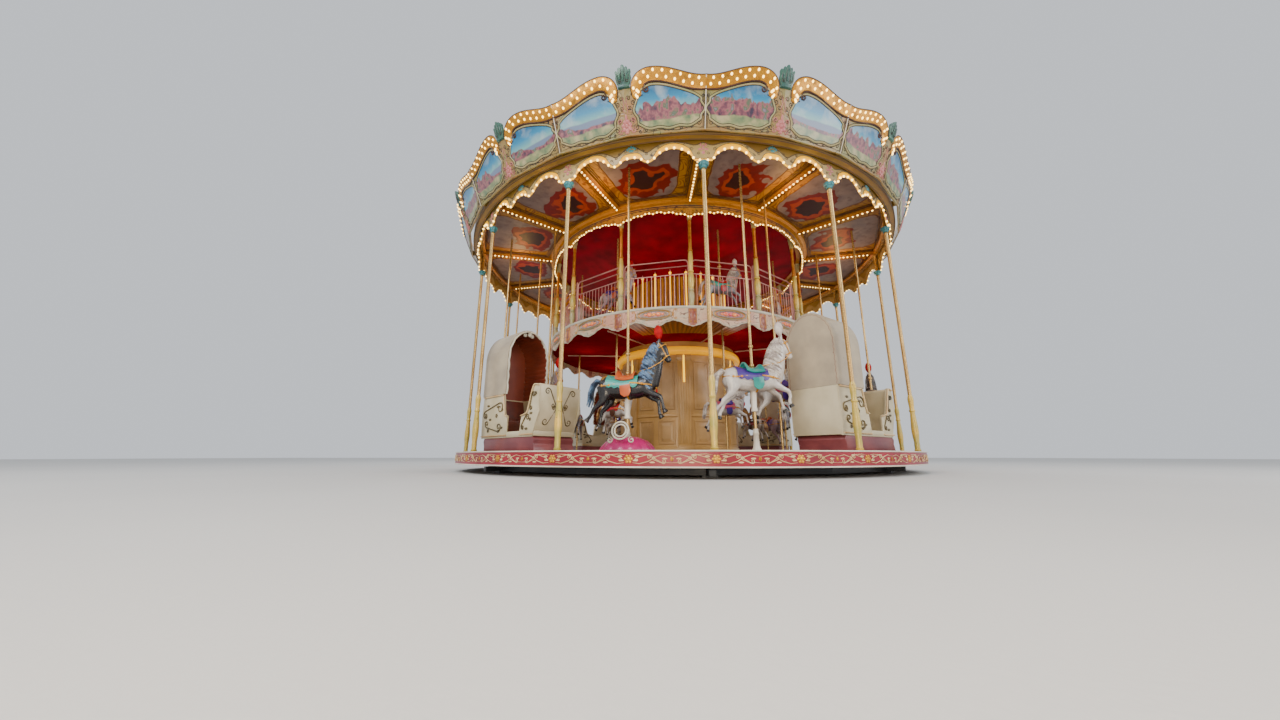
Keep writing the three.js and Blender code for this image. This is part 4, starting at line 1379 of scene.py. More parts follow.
@dataclass
class Deck:
    """The turning floor of boards, the sleeves that hold the horse poles, and the painted skirt."""

    hub: float = 0.45
    low: float = 0.33
    high: float = 0.38
    repeats: int = 28
    face: float = 5.292
    sleeve: tuple[Pair, ...] = (
        (0.0228, 0.3805), (0.08, 0.3805), (0.078, 0.396), (0.058, 0.43), (0.048, 0.475), (0.042, 0.62),
        (0.05, 0.634), (0.05, 0.66), (0.04, 0.674), (0.038, 0.72), (0.0228, 0.72))

    def skirt(self, low: float, high: float) -> None:
        """The crimson-pink skirt between two white mouldings.

        Args:
            low: Height of its foot.
            high: Height of its top.
        """
        inner, face, outer = self.face - 0.02, self.face, outer_radius("platform_skirt")
        panel = ((inner, low + 0.01), (face, low + 0.01), (face, high - 0.012), (inner, high - 0.012))
        Shape.ring(panel).handed("skirt_panel", Palette.PINK, "platform_skirt")
        crown = Shape.ring(((inner, high - 0.022), (outer - 0.006, high - 0.022), (outer, high - 0.015),
                            (outer - 0.002, high - 0.004), (outer - 0.01, high), (inner, high)))
        foot = Shape.ring(((inner, low), (outer - 0.003, low), (outer, low + 0.006),
                           (outer - 0.006, low + 0.02), (inner, low + 0.022)))
        Shape.joined([crown, foot]).handed("skirt_mouldings", Palette.WHITE)

    def scrolls(self, middle: float) -> None:
        """Cream foliage and gold rosettes along the middle of the skirt.

        Args:
            middle: Height of the skirt's middle.
        """
        half = math.pi * self.face / self.repeats
        lines = (
            (c_scroll(0.2, 0.01, 0.17, 0.032, 14), 0.0055),
            (c_scroll(0.42, -0.008, 0.14, 0.03, -18, -1), 0.0055),
            ([(0.06, -0.05), (0.16, -0.062), (0.28, -0.03), (0.38, 0.03), (0.47, 0.055), (half, 0.035)],
             0.0065),
            ([(0.05, 0.055), (0.13, 0.065), (0.24, 0.06), (0.34, 0.02), (0.45, -0.045), (half, -0.05)],
             0.0055))
        leaves = ((0.1, -0.02), (0.12, 0.035), (0.3, 0.05), (0.33, -0.045), (0.5, 0.005))
        foliage = [Shape.drawn(line, radius, 0.004) for line, radius in lines]
        foliage += beads((0.03, x, z, (1.25, 0.22, 0.42)) for x, z in leaves)
        foliage = Shape.joined(foliage).shifted(z=middle).mirrored()
        foliage.spread(self.face, 0.0, self.repeats).handed("skirt_foliage", Palette.SCROLL_CREAM)
        rosette = [Shape.ball(0.03, (0, -0.003, 0), 10, 6, (1, 0.3, 1))]
        rosette += beads((0.021, 0.043 * math.cos(turn), 0.043 * math.sin(turn), (1, 0.3, 1))
                         for turn in (k * math.pi / 3 for k in range(6)))
        rosette += beads((0.014, x, 0, (1.6, 0.4, 2.2)) for x in (-half, half))
        rosette = Shape.joined(rosette).shifted(z=middle)
        rosette.spread(self.face, 0.0, self.repeats).handed("skirt_rosettes", Palette.GOLD)

    def build(self) -> None:
        """Builds the deck."""
        for node in ("base_frame", "slewing_pedestal"):
            kept(node, Palette.STEEL)
        radius = outer_radius("platform_floor")
        floor = Shape.turned(((self.hub, foot_of("platform_floor")), (self.hub, self.low), (radius, self.low),
                              (radius, self.high), (0.1, self.high)), ROUND_STEPS)
        floor.handed("deck_boards", Palette.PLANKS, "platform_floor")
        sleeves = Shape.ring(self.sleeve, 16).copies([placed(outer_angle(slot), OUTER_ROW)
                                                      for slot in HORSE_SLOTS])
        sleeves.handed("pole_sleeves", Palette.WHITE)
        low, high = foot_of("platform_skirt"), top_of("platform_skirt")
        self.skirt(low, high)
        self.scrolls((low + high) / 2)


@dataclass
class LowerDrum:
    """The ivory drum of the lower deck: moulded panels between fluted pilasters, and a cornice that glows as
    painted light.
    """

    radius: float = 1.5
    wall: float = 0.06
    pilasters: int = 7
    pilaster_width: float = 0.35
    flutes: int = 5
    ribs: int = 126
    pleats: int = 42
    pleat_span: Pair = (2.2, 3.33)
    panels: tuple[Pair, ...] = ((0.56, 1.1), (1.34, 2.48))
    moulding: tuple[Pair, ...] = ((0.01, 0.014), (0.02, 0.0), (0.012, -0.012), (0.03, 0.0), (0.04, 0.008))

    def drum(self) -> None:
        """The wall with its skirting and dado rail, and the panels on it."""
        inner, face = self.radius - self.wall, self.radius - 0.008
        low, high = foot_of("centre_drum"), top_of("centre_drum")
        wall = Shape.ring(((inner, low), (face + 0.02, low), (face + 0.02, 0.49), (face, 0.51), (face, 1.17),
                           (face + 0.018, 1.185), (face + 0.022, 1.215), (face + 0.012, 1.24), (face, 1.25),
                           (face, high), (inner, high)))
        wall.handed("drum_wall", Palette.IVORY, "centre_drum")
        bay = TURN * self.radius / self.pilasters - self.pilaster_width
        made = []
        for low, high in self.panels:
            for side in (-0.25, 0.25):
                panel = Shape.strip(bay * 0.5 - 0.1, 4, 4, lambda x: low, lambda x: high)
                made.append(panel.inset(*self.moulding).thick(0.004).shifted(x=side * bay * 1.02))
        panels = Shape.joined(made).spread(face + 0.004, math.pi / self.pilasters, self.pilasters)
        panels.smooth().handed("drum_panels", Palette.IVORY_DARK)

    def columns(self) -> None:
        """Pilasters with flutes, a foot and a head, and a lit strip under the cornice."""
        low, high = foot_of("centre_drum") + 0.001, foot_of("drum_cornice") - 0.001
        half = self.pilaster_width / 2
        parts = [Shape.slab(-half + gap, half - gap, foot, head, depth) for gap, foot, head, depth in (
            (0, low, low + 0.14, 0.1), (0, high - 0.12, high, 0.1), (0.02, low + 0.14, high - 0.12, 0.07),
            (0.008, low + 0.14, low + 0.165, 0.09), (0.008, high - 0.15, high - 0.12, 0.09))]
        for index in range(self.flutes):
            x = (index - (self.flutes - 1) / 2) * 0.058
            parts.append(Shape.tube([(x, -0.036, low + 0.2), (x, -0.036, high - 0.52)], 0.012))
        lamp = Shape.tube([(0, -0.038, high - 0.66), (0, -0.038, high - 0.02)], 0.026, 8)
        for shape, name, finish in ((Shape.joined(parts), "drum_pilasters", Palette.IVORY),
                                    (lamp, "pilaster_lamps", Palette.TUBE)):
            shape.shifted(y=-self.radius).round_about(self.pilasters).handed(name, finish)

    def cornice(self) -> None:
        """The ribbed yellow cornice, which glows as painted light, and pleated ceiling panels at the front
        and the back.
        """
        inner, outer = self.radius + 0.002, outer_radius("drum_cornice")
        low, high = foot_of("drum_cornice"), top_of("drum_cornice")
        ring = Shape.ring(((inner, low), (outer - 0.05, low), (outer - 0.018, low + 0.03),
                           (outer - 0.004, low + 0.07), (outer - 0.004, low + 0.11),
                           (outer - 0.02, high - 0.03), (outer - 0.04, high), (inner, high)), self.ribs * 4)
        ring.moved(lambda at: waved(at, self.ribs, 0.004, outer - 0.06))
        # The cornice's yellow glows as painted light; the cornice is no lamp.
        ring.handed("lit_cornice", Palette.LIT_YELLOW, "drum_cornice")
        top = foot_of("lower_ceiling") - 0.0005
        near, far = self.pleat_span

        def rule(u: float, v: float) -> Point:
            """Place on the pleated panel.

            Args:
                u: Share round the panel.
                v: Share outwards.

            Returns:
                The place.
            """
            turn, out = (2 * u - 1) * SECTION, near + (far - near) * v
            fold = 0.004 * (1 - math.cos(u * self.pleats * TURN))
            return out * math.sin(turn), -out * math.cos(turn), top - 0.008 - fold

        panel = Shape.sheet(self.pleats * 4, 2, rule).thick(0.006)
        panel.round_about(2).handed("ceiling_pleats", Palette.PLEATS)

    def build(self) -> None:
        """Builds the drum and what hangs round it."""
        self.drum()
        self.columns()
        self.cornice()
        kept("lower_ceiling", Palette.CRIMSON)
        kept("upper_deck_floor", Palette.PLANKS)


@dataclass
class Fascia:
    """The wavy painted edge of the upper deck, with cartouches and medallions."""

    face: float = 3.352
    low: float = 2.73
    wave: float = 0.06
    high: float = 3.15
    scallop: float = 0.012
    middle: float = 3.0

    def bottom(self, x: float) -> float:
        """Height of the lower edge, with a column at x 0.

        Args:
            x: Place along a section.

        Returns:
            The height.
        """
        place = 1 - middle_share(x, SECTION * self.face)
        scallops = abs(math.sin(place * math.pi * 5))
        return self.low + self.wave * (1 - math.cos(TURN * place)) + self.scallop * scallops

    def boards(self) -> None:
        """The painted boards with a moulding along each edge."""
        face, high = self.face, self.high
        board = Shape.strip(SECTION * face, 60, 4, self.bottom, lambda x: high).thick(0.011)
        board.spread(face, 0.0).outwards().handed("fascia_boards", Palette.FASCIA, "upper_fascia")
        half = SECTION * face / 2
        edges = []
        for lift, radius, proud in ((0.01, 0.011, 0.003), (0.042, 0.005, 0.002)):
            line = line_of(lambda x: self.bottom(x) + lift, -half, half, 60)
            edges.append(Shape.drawn(line, radius, proud, taper=False))
        crown = Shape.ring(((face - 0.01, high - 0.045), (face + 0.008, high - 0.04),
                            (face + 0.02, high - 0.022), (face + 0.022, high), (face - 0.01, high)))
        Shape.joined([Shape.joined(edges).spread(face, 0.0), crown]).handed("fascia_mouldings", Palette.CREAM)

    def lozenge(self, wide: float, tall: float) -> list[Pair]:
        """Outline of the cartouche, scaled about its middle.

        Args:
            wide: Its share of the full width.
            tall: Its share of the full height.

        Returns:
            The corners.
        """
        turns = (k * math.pi / 16 for k in range(32))
        return [(wide * 0.31 * math.copysign(abs(math.cos(t)) ** 1.3, math.cos(t)),
                 self.middle + tall * 0.092 * math.copysign(abs(math.sin(t)) ** 0.8, math.sin(t)))
                for t in turns]

    def loop(self, scale: float, proud: float, radius: float) -> Shape:
        """A raised line round the cartouche."""
        return Shape.tube([(x, -proud, z) for x, z in self.lozenge(scale, scale)], radius, closed=True)

    def build(self) -> None:
        """Builds the boards, the jewelled cartouches between the columns, and a medallion at each column."""
        self.boards()
        middle = self.middle
        gems = ((-0.17, 0.024), (-0.09, 0.044), (0.0, 0.032), (0.09, 0.044), (0.17, 0.024))
        scrolls = [Shape.drawn(c_scroll(0.4, middle + 0.035, 0.11, 0.028, 60), 0.006, 0.004),
                   Shape.drawn(c_scroll(0.4, middle - 0.04, 0.11, 0.028, -60, -1), 0.006, 0.004)]
        scrolls += curls(((0.14, middle + 0.105, 0.03, 200, 1.2), (0.14, middle - 0.105, 0.03, 160, -1.2)),
                         0.005, 0.004)
        plate = [Shape.slab(-0.085, 0.085, 2.79, 3.1, 0.022, 0.008),
                 Shape.slab(-0.06, 0.06, 2.74, 2.8, 0.02, 0.008),
                 Shape.ball(0.055, (0, -0.006, 2.95), 12, 7, (1, 0.3, 1.5))]
        trim = curls(((0.05, 3.06, 0.03, 90, 1.4), (0.05, 2.83, 0.03, -90, -1.4)), 0.006, 0.012)
        trim.append(Shape.drawn([(0.075, 2.86), (0.066, 2.9), (0.072, 2.95), (0.066, 3.0), (0.075, 3.03)],
                                0.006, 0.012))
        for name, finish, shift, parts in (
                ("fascia_jewels", Palette.JEWEL, SECTION / 2,
                 [Shape.prism(self.lozenge(0.92, 0.88), 0.014, 0.004)]),
                # The gems glow a little as painted light; they are no lamps.
                ("fascia_gems", Palette.GEM, SECTION / 2,
                 [Shape.ball(size, (x, -0.01, middle), 10, 6, (1.2, 0.4, 1)) for x, size in gems]),
                ("fascia_rims", Palette.RIM, SECTION / 2,
                 [self.loop(scale, 0.005, 0.012) for scale in (0.78, 1.14)]),
                ("fascia_scrolls", Palette.GOLD, SECTION / 2,
                 [self.loop(1.0, 0.004, 0.0085), Shape.joined(scrolls).mirrored()]),
                ("fascia_medallions", Palette.MEDALLION, 0.0, plate),
                ("medallion_scrolls", Palette.GOLD, 0.0, [Shape.joined(trim).mirrored()])):
            Shape.joined(parts).spread(self.face, shift).handed(name, finish)


@dataclass
class Columns:
    """Turned columns on the upper deck, in three finishes, with leafy capitals and a ring on their heads."""

    radius: float = 3.265
    beam_half: float = 0.045
    steps: int = 18
    head: float = 5.3
    feet: tuple[Pair, ...] = (
        (0.066, 0), (0.066, 0.03), (0.05, 0.045), (0.058, 0.07), (0.042, 0.1), (0.052, 0.18), (0.064, 0.27),
        (0.058, 0.34), (0.04, 0.38), (0.054, 0.395), (0.054, 0.415), (0.04, 0.43))
    vases: tuple[Pair, ...] = (
        (0.04, 0.43), (0.056, 0.48), (0.064, 0.6), (0.062, 0.7), (0.046, 0.76), (0.036, 0.78), (0.056, 0.79),
        (0.056, 0.82), (0.038, 0.835), (0.046, 0.9), (0.05, 1.06), (0.044, 1.2), (0.034, 1.24))
    shafts: tuple[Pair, ...] = (
        (0.034, 1.24), (0.05, 1.25), (0.05, 1.27), (0.034, 1.285), (0.033, 1.5), (0.033, 1.88), (0.04, 1.885),
        (0.04, 1.9), (0.034, 1.91), (0.036, 1.96))

    def build(self) -> None:
        """Builds the columns and the ring."""
        low = foot_of("upper_columns")
        for name, profile, finish, *nodes in (
                ("upper_column_feet", self.feet, Palette.SAGE, "upper_columns"),
                ("upper_column_vases", self.vases, Palette.TURNED),
                ("upper_column_shafts", self.shafts, Palette.COLUMN)):
            shape = Shape.turned([(radius, low + height) for radius, height in profile], self.steps)
            shape.stood(self.radius).handed(name, finish, *nodes)
        self.capitals(low + 1.95)
        inner, outer = self.radius - self.beam_half, self.radius + self.beam_half
        top = top_of("upper_columns")
        ring = Shape.ring(((inner, self.head), (outer, self.head), (outer, top), (inner, top)))
        ring.handed("upper_column_ring", Palette.OCHRE)

    def capitals(self, low: float) -> None:
        """Leafy capitals in two tiers.

        Args:
            low: Height of their foot.
        """
        rise = self.head - low
        made = [Shape.turned(((0.036, low), (0.04, low + rise * 0.3), (0.056, low + rise * 0.8),
                              (0.07, low + rise * 0.9), (0.072, self.head)))]
        for height, out, turn in ((0.22, 0.038, 0.0), (0.64, 0.05, math.pi / 6)):
            leaf = Shape.ball(0.03, (0, -out, low + rise * height), 6, 5, (0.55, 0.35, 1.9))
            made.append(leaf.round_about(6, turn))
        Shape.joined(made).stood(self.radius).handed("column_capitals", Palette.SAGE)


@dataclass
class GuardRail:
    """The railing of the upper deck: a framed panel of balusters in each bay, between slim posts."""

    radius: float = 3.165
    low: float = 3.155
    high: float = 4.226
    corner: float = 0.09
    rail: float = 0.014
    spindle: float = 0.0075
    spindles: int = 13
    rails: Pair = (4.09, 3.92)

    def build(self) -> None:
        """Builds the railing."""
        half = self.radius * math.sin(SECTION / 2) - 0.035
        bend = [(self.corner * (1 - math.cos(turn)), self.corner * (1 - math.sin(turn)))
                for turn in (k * math.pi / 10 for k in range(6))]
        left = [(-half, self.low - 0.04)] + [(-half + dx, self.high - dz) for dx, dz in bend]
        lines = [([*left, *((-x, z) for x, z in reversed(left))], self.rail, 8)]
        lines += [([(-half, z), (half, z)], size, 6)
                  for z, size in ((self.rails[0], self.rail * 0.8), (self.rails[1], self.rail * 0.8),
                                  (self.low, self.rail))]
        for index in range(self.spindles):
            x = -half + (index + 1) * 2 * half / (self.spindles + 1)
            lines.append(([(x, self.low), (x, self.rails[1])], self.spindle, 6))
        proud = self.radius * math.cos(SECTION / 2)
        bay = Shape.joined([Shape.drawn(*line[:2], proud, line[2], taper=False) for line in lines])
        post = Shape.turned(((0.018, foot_of("upper_railing")), (0.018, 4.2), (0.026, 4.215), (0.02, 4.238),
                             (0.006, 4.24)), 8)
        rails = Shape.joined([bay.round_about(SECTIONS, SECTION / 2), post.stood(self.radius)])
        rails.handed("guard_rail", Palette.RAIL, "upper_railing")


@dataclass
class UpperDrum:
    """The golden drum of the upper deck, its light tubes and the red ceiling round it."""

    radius: float = 1.3
    wall: float = 0.04
    ribs: int = 84
    tubes: int = 21
    ceiling: tuple[Pair, Pair] = ((1.301, 5.08), (3.2195, 5.33))
    thick: float = 0.025

    def build(self) -> None:
        """Builds the drum, its tubes and the ceiling."""
        low, high = foot_of("upper_drum"), top_of("upper_drum")
        face, inner = self.radius, self.radius - self.wall
        wall = Shape.ring(((inner, low), (face, low), (face, high), (inner, high)), self.ribs * 4)
        wall.moved(lambda at: waved(at, self.ribs, 0.006, face - 0.01))
        wall.handed("upper_drum_staves", Palette.STRIPES, "upper_drum")
        head = high - 0.31
        holder = Shape.turned(((0.03, head - 0.02), (0.034, head + 0.01), (0.02, head + 0.03)), 8)
        holders = holder.copies([Matrix.Identity(4), Matrix.Translation((0, 0, low - high + 0.48))])
        tube = Shape.tube([(0, 0, low + 0.2), (0, 0, high - 0.35)], 0.02, 8)
        out, start = face + 0.028, 0.1
        for name, finish, shape in (
                ("drum_light_tubes", Palette.TUBE, tube),
                ("drum_light_globes", Palette.TUBE, Shape.ball(0.036, (0, 0, head))),
                ("drum_light_tips", Palette.ROSE, Shape.ball(0.018, (0, 0, head + 0.06), 8, 6, (1, 1, 2.2)))):
            shape.shifted(y=-out).round_about(self.tubes, start).handed(name, finish)
        back, front, low, high = face - 0.01, face + 0.003, head - 0.1, 5.079
        band = Shape.ring(((back, low), (front, low), (front, high), (back, high)))
        band.handed("upper_drum_band", Palette.RED)
        holders.shifted(y=-out).round_about(self.tubes, start).handed("light_tube_holders", Palette.GOLD)
        (near, foot), (far, rim) = self.ceiling
        cone = Shape.ring((*self.ceiling, (far, rim + self.thick), (near, foot + self.thick)))
        cone.handed("red_ceiling_shell", Palette.RED, "red_ceiling")


@dataclass
class OuterPoles:
    """The poles at the rim, with their thick turned feet and their teal carved caps."""

    radius: float = 5.18
    shaft: float = 0.034
    foot: tuple[Pair, ...] = (
        (0.062, 0), (0.062, 0.012), (0.05, 0.02), (0.058, 0.034), (0.044, 0.05), (0.046, 0.12), (0.043, 0.18),
        (0.052, 0.27), (0.058, 0.36), (0.058, 0.44), (0.05, 0.56), (0.043, 0.66), (0.04, 0.72), (0.05, 0.735),
        (0.05, 0.755), (0.04, 0.77), (0.042, 0.84), (0.048, 0.93), (0.05, 0.96), (0.044, 1.0), (0.034, 1.04))
    cap: tuple[Pair, ...] = (
        (0.036, 4.795), (0.052, 4.8), (0.046, 4.815), (0.056, 4.84), (0.08, 4.87), (0.0945, 4.888),
        (0.09, 4.898), (0.036, 4.8998))
    lobes: int = 8

    def build(self) -> None:
        """Builds the poles, the ring on their heads and the caps."""
        low, high, shaft = foot_of("outer_poles"), top_of("outer_poles"), self.shaft
        foot = Shape.turned([(radius, low + height) for radius, height in self.foot])
        foot.stood(self.radius).handed("rim_pole_feet", Palette.TURNED)
        pole = Shape.turned(((shaft, low + self.foot[-1][1]), (shaft, 4.74), (0.04, 4.75), (0.04, 4.765),
                             (shaft, 4.775), (shaft, high - 0.07)))
        near, far = self.radius - 0.025, self.radius + 0.025
        tie = Shape.ring(((near, high - 0.08), (far, high - 0.08), (far, high), (near, high)))
        Shape.joined([pole.stood(self.radius), tie]).handed("rim_poles", Palette.BRASS, "outer_poles")
        cup = Shape.turned(self.cap, self.lobes * 4).moved(lambda at: lobed(at, self.lobes, 0.07))
        leaves = Shape.ball(0.03, (0, -0.07, 4.862), 6, 5, (0.7, 0.3, 1.0)).round_about(self.lobes)
        Shape.joined([cup, leaves]).stood(self.radius).handed("pole_caps", Palette.TEAL)


@dataclass
class Ceiling:
    """The coffered ceiling over the rim: painted panels between stepped beams with rows of bulbs."""

    inner: float = 3.4
    outer: float = 5.204
    low: float = 5.385
    plate: float = 5.45
    rib: float = 0.065
    pitch: float = 0.095
    steps: tuple[Pair, ...] = ((0.03, 0.0), (0.012, -0.009), (0.03, 0.0), (0.012, -0.007), (0.01, 0.0))

    def half_at(self, out: float, gap: float) -> float:
        """Half the width of a section at a distance from the axis, less a gap beside each beam's middle."""
        return out * math.tan(SECTION / 2) - gap / math.cos(SECTION / 2)

    def coffers(self) -> None:
        """Panels with two steps round a painted field, under a flat plate."""
        near, far = self.inner + 0.07, self.outer - 0.08
        middle = (near + far) / 2

        def rule(u: float, v: float) -> Point:
            """Corner of a panel."""
            out = near + (far - near) * v
            return (2 * u - 1) * self.half_at(out, self.rib), -out, self.plate

        panel = Shape.sheet(4, 4, rule).charted(lambda at: (at.x, -at.y - middle)).inset(*self.steps)
        panels = panel.round_about(SECTIONS, SECTION / 2).dressed(Palette.CEILING)
        low, high = self.plate + 0.018, self.plate + 0.025
        plate = Shape.ring(((self.inner, low), (self.outer, low), (self.outer, high), (self.inner, high)))
        made = Shape.joined([panels, plate.dressed(Palette.OCHRE)]).smooth()
        made.handed("coffer_panels", Palette.CEILING, "coffered_ceiling")

    def mouldings(self) -> None:
        """Dark lines that run round each coffer."""
        near, far = self.inner + 0.085, self.outer - 0.1
        lines = []
        for step, size, lift in ((0.004, 0.01, 0.0), (0.036, 0.008, 0.0), (0.072, 0.007, 0.006)):
            ends = (near + step, -1), (far - step, -1), (far - step, 1), (near + step, 1)
            corners = [(side * self.half_at(out, self.rib + step + 0.01), -out, self.plate + lift)
                       for out, side in ends]
            lines.append(Shape.tube(corners, size, closed=True))
        Shape.joined(lines).round_about(SECTIONS, SECTION / 2).handed("coffer_mouldings", Palette.BROWN)

    def beams(self) -> None:
        """Stepped beams with a ring at each end, dark lines along them, and one row of bulbs on each."""
        top, low = self.plate - 0.0005, self.low
        length = self.outer - self.inner - 0.04
        steps = [Shape.slab(-half, half, foot, head, length, 0.004) for half, foot, head in (
            (0.065, 5.42, top), (0.045, 5.402, 5.425), (0.024, 5.3855, 5.405))]
        beams = Shape.joined(steps).shifted(y=-(self.inner + self.outer) / 2).round_about()
        inner = Shape.ring(((3.221, low), (3.42, low), (3.44, 5.4), (3.48, 5.41), (3.48, top), (3.221, top)))
        outer = Shape.ring(((5.126, top), (5.126, 5.42), (5.15, 5.405), (5.16, low), (5.204, low),
                            (5.204, top)))
        Shape.joined([beams, inner, outer]).handed("stepped_beams", Palette.OCHRE, "ceiling_beams")
        edges = [Shape.tube([(x, -self.inner - 0.05, z), (x, -self.outer + 0.07, z)], 0.0045, 4)
                 for x, z in ((-0.067, 5.424), (-0.026, 5.386), (0.067, 5.424), (0.026, 5.386))]
        Shape.joined(edges).round_about().handed("beam_lines", Palette.BROWN)
        count = int((self.outer - self.inner - 0.12) / self.pitch)
        row = bulbs(0.018, [(0, -self.inner - 0.08 - self.pitch * index, low - 0.008)
                            for index in range(count)])
        row.round_about().handed("beam_bulbs", Palette.BULB)

    def build(self) -> None:
        """Builds the ceiling."""
        self.coffers()
        self.mouldings()
        self.beams()


@dataclass
class OuterValance:
    """The scalloped valance between the outer poles, with its yellow edge that glows as painted light, its
    shells and its bulbs.
    """

    face: float = 5.228
    high: float = 5.3845
    low_line: tuple[Pair, ...] = (
        (0, 4.9003), (0.115, 4.9003), (0.16, 4.99), (0.22, 5.06), (0.32, 5.125), (0.42, 5.145), (0.52, 5.125),
        (0.6, 5.07), (0.66, 5.0), (0.7, 4.955), (0.745, 4.93), (0.79, 4.935), (0.83, 4.96), (0.865, 5.01),
        (0.92, 5.035), (1, 5.04))
    top_line: tuple[Pair, ...] = (
        (0, 5.25), (0.12, 5.2), (0.25, 5.245), (0.42, 5.278), (0.58, 5.25), (0.68, 5.19), (0.78, 5.12),
        (0.87, 5.19), (0.93, 5.25), (1, 5.278))
    scrolls: tuple[tuple[float, ...], ...] = (
        (0.26, 5.1, 0.03, 90, 1.3), (0.33, 5.07, 0.028, 90, -1.3), (0.1, 5.2, 0.03, -60, -1.3),
        (0.2, 5.17, 0.028, 120, 1.4), (0.98, 5.13, 0.035, -90, 1.3), (1.09, 5.05, 0.03, 90, -1.3),
        (0.45, 5.19, 0.028, 0, 1.3))
    leaves: tuple[tuple[float, ...], ...] = (
        (0, 5.16, 0.7, 1.8), (-0.05, 5.12, 1.4, 0.7), (0.05, 5.12, 1.4, 0.7), (0, 5.06, 1.0, 1.2),
        (-0.04, 5.2, 0.6, 1.2), (0.04, 5.2, 0.6, 1.2))
    pitch: float = 0.122

    def share(self, x: float) -> float:
        """0 at a pole and 1 in the middle of a section, which is at x 0."""
        return middle_share(x, SECTION * self.face)

    def bottom(self, x: float) -> float:
        """Height of the lower edge."""
        return max(through(self.low_line, self.share(x)), self.low_line[0][1])

    def top(self, x: float) -> float:
        """Height at which the carved cream part ends."""
        return through(self.top_line, self.share(x))

    def lit(self, x: float) -> float:
        """Height of the lit edge's upper side, which is broad over the arches and narrow on the pendants."""
        low = self.bottom(x)
        return low + 0.036 + 0.06 * min(max((low - 4.94) / 0.1, 0.0), 1.0)

    def build(self) -> None:
        """Builds the valance."""
        half = SECTION * self.face / 2
        for low, high, inset, finish, name, *nodes in (
                (self.bottom, self.top, 0.0, Palette.VALANCE, "valance_boards", "outer_valance"),
                (lambda x: self.top(x) - 0.02, lambda x: self.high, 0.006, Palette.COVE, "valance_ground")):
            board = Shape.strip(2 * half, 120, 4, low, high).thick(0.011 - inset)
            board.spread(self.face - inset).outwards().handed(name, finish, *nodes)
        curve, outer = (line_of(rule, -half, half, 160) for rule in (self.bottom, self.lit))
        lip = Shape.sheet(160, 2, lambda u, v: between(
            curve, outer, u, v, -0.005 - 0.007 * math.sin(math.pi * v)))
        # The yellow edge glows as painted light from the bulbs along it; it is no lamp.
        lip.spread(self.face).outwards().thick(0.004).handed("valance_lit_edge", Palette.LIT_EDGE)
        rows = ((lambda x: self.lit(x) + 0.008, 0.0035, 0.001), (lambda x: self.top(x) - 0.004, 0.006, 0.002))
        ink = [Shape.drawn(line_of(rule, -half, half, 100), radius, proud, taper=False)
               for rule, radius, proud in rows]
        ink.append(Shape.joined(curls(self.scrolls, 0.0045, 0.002)).mirrored())
        Shape.joined(ink).spread(self.face).handed("valance_scroll_lines", Palette.INK)
        self.shells()
        places = paced([(x, z + 0.006) for x, z in curve], self.pitch)
        row = bulbs(0.021, [(x, -0.016, z) for x, z in places]).spread(self.face)
        row.handed("valance_bulbs", Palette.BULB)

    def shells(self) -> None:
        """A teal shell over the middle of each section, and rosy leaves over each pole."""
        fan = [(math.radians(lean), 1.2 if lean else 1.5) for lean in (-64, -32, 0, 32, 64)]
        shell = beads((0.022, 0.07 * math.sin(lean), 5.19 + 0.07 * math.cos(lean), (0.8, 0.35, tall))
                      for lean, tall in fan)
        shell += beads([(0.035, 0, 5.19, (1.3, 0.35, 0.7))])
        Shape.joined(shell).spread(self.face).handed("valance_shells", Palette.TEAL)
        leaves = beads((0.028, x, z, (wide, 0.35, tall)) for x, z, wide, tall in self.leaves)
        Shape.joined(leaves).spread(self.face, 0.0).handed("valance_leaves", Palette.ROSE)


@dataclass
class InnerValance:
    """The small gold valance over the inner columns."""

    face: float = 3.352
    low: float = 5.08
    arch: float = 5.215
    high: float = 5.3845
    roundness: float = 0.7
    scallops: int = 6
    pitch: float = 0.082

    def bottom(self, x: float) -> float:
        """Height of the lower edge, with the middle of a section at x 0.

        Args:
            x: Place along a section.

        Returns:
            The height.
        """
        share = middle_share(x, SECTION * self.face)
        arch = self.low + (self.arch - self.low) * math.sin(math.pi / 2 * share) ** self.roundness
        return arch - 0.02 + 0.03 * abs(math.sin(math.pi * share * self.scallops / 2))

    def build(self) -> None:
        """Builds the valance."""
        face, half = self.face, SECTION * self.face / 2
        board = Shape.strip(2 * half, 96, 3, self.bottom, lambda x: self.high).thick(0.007)
        board.spread(face).outwards().handed("inner_valance_boards", Palette.GOLD_SCROLL, "inner_valance")
        curve = line_of(self.bottom, -half, half, 96)
        edge = Shape.drawn(curve, 0.009, 0.004, taper=False).spread(face)
        # The gold edge glows as painted light from the bulbs along it; it is no lamp.
        edge.handed("inner_valance_edge", Palette.LIT_EDGE)
        parts = curls(((0.1, 5.31, 0.03, 180, 1.3), (0.28, 5.3, 0.03, 0, -1.3), (0.45, 5.28, 0.03, 180, 1.3),
                       (0.6, 5.22, 0.03, 0, -1.3)), 0.005, 0.003)
        parts += [Shape.drawn(line, radius, proud, taper=False) for line, radius, proud in (
            (line_of(lambda x: self.bottom(x) + 0.035, 0, half, 40), 0.004, 0.002),
            ([(0, 5.345), (half / 2, 5.345), (half, 5.345)], 0.013, 0.004),
            ([(0, 5.305), (half / 2, 5.305), (half, 5.305)], 0.009, 0.004))]
        Shape.joined(parts).mirrored().spread(face).handed("inner_valance_scrolls", Palette.BROWN)
        places = paced([(x, z - 0.004) for x, z in curve], self.pitch)
        row = bulbs(0.017, [(x, -0.014, z) for x, z in places]).spread(face)
        row.handed("inner_valance_bulbs", Palette.BULB)


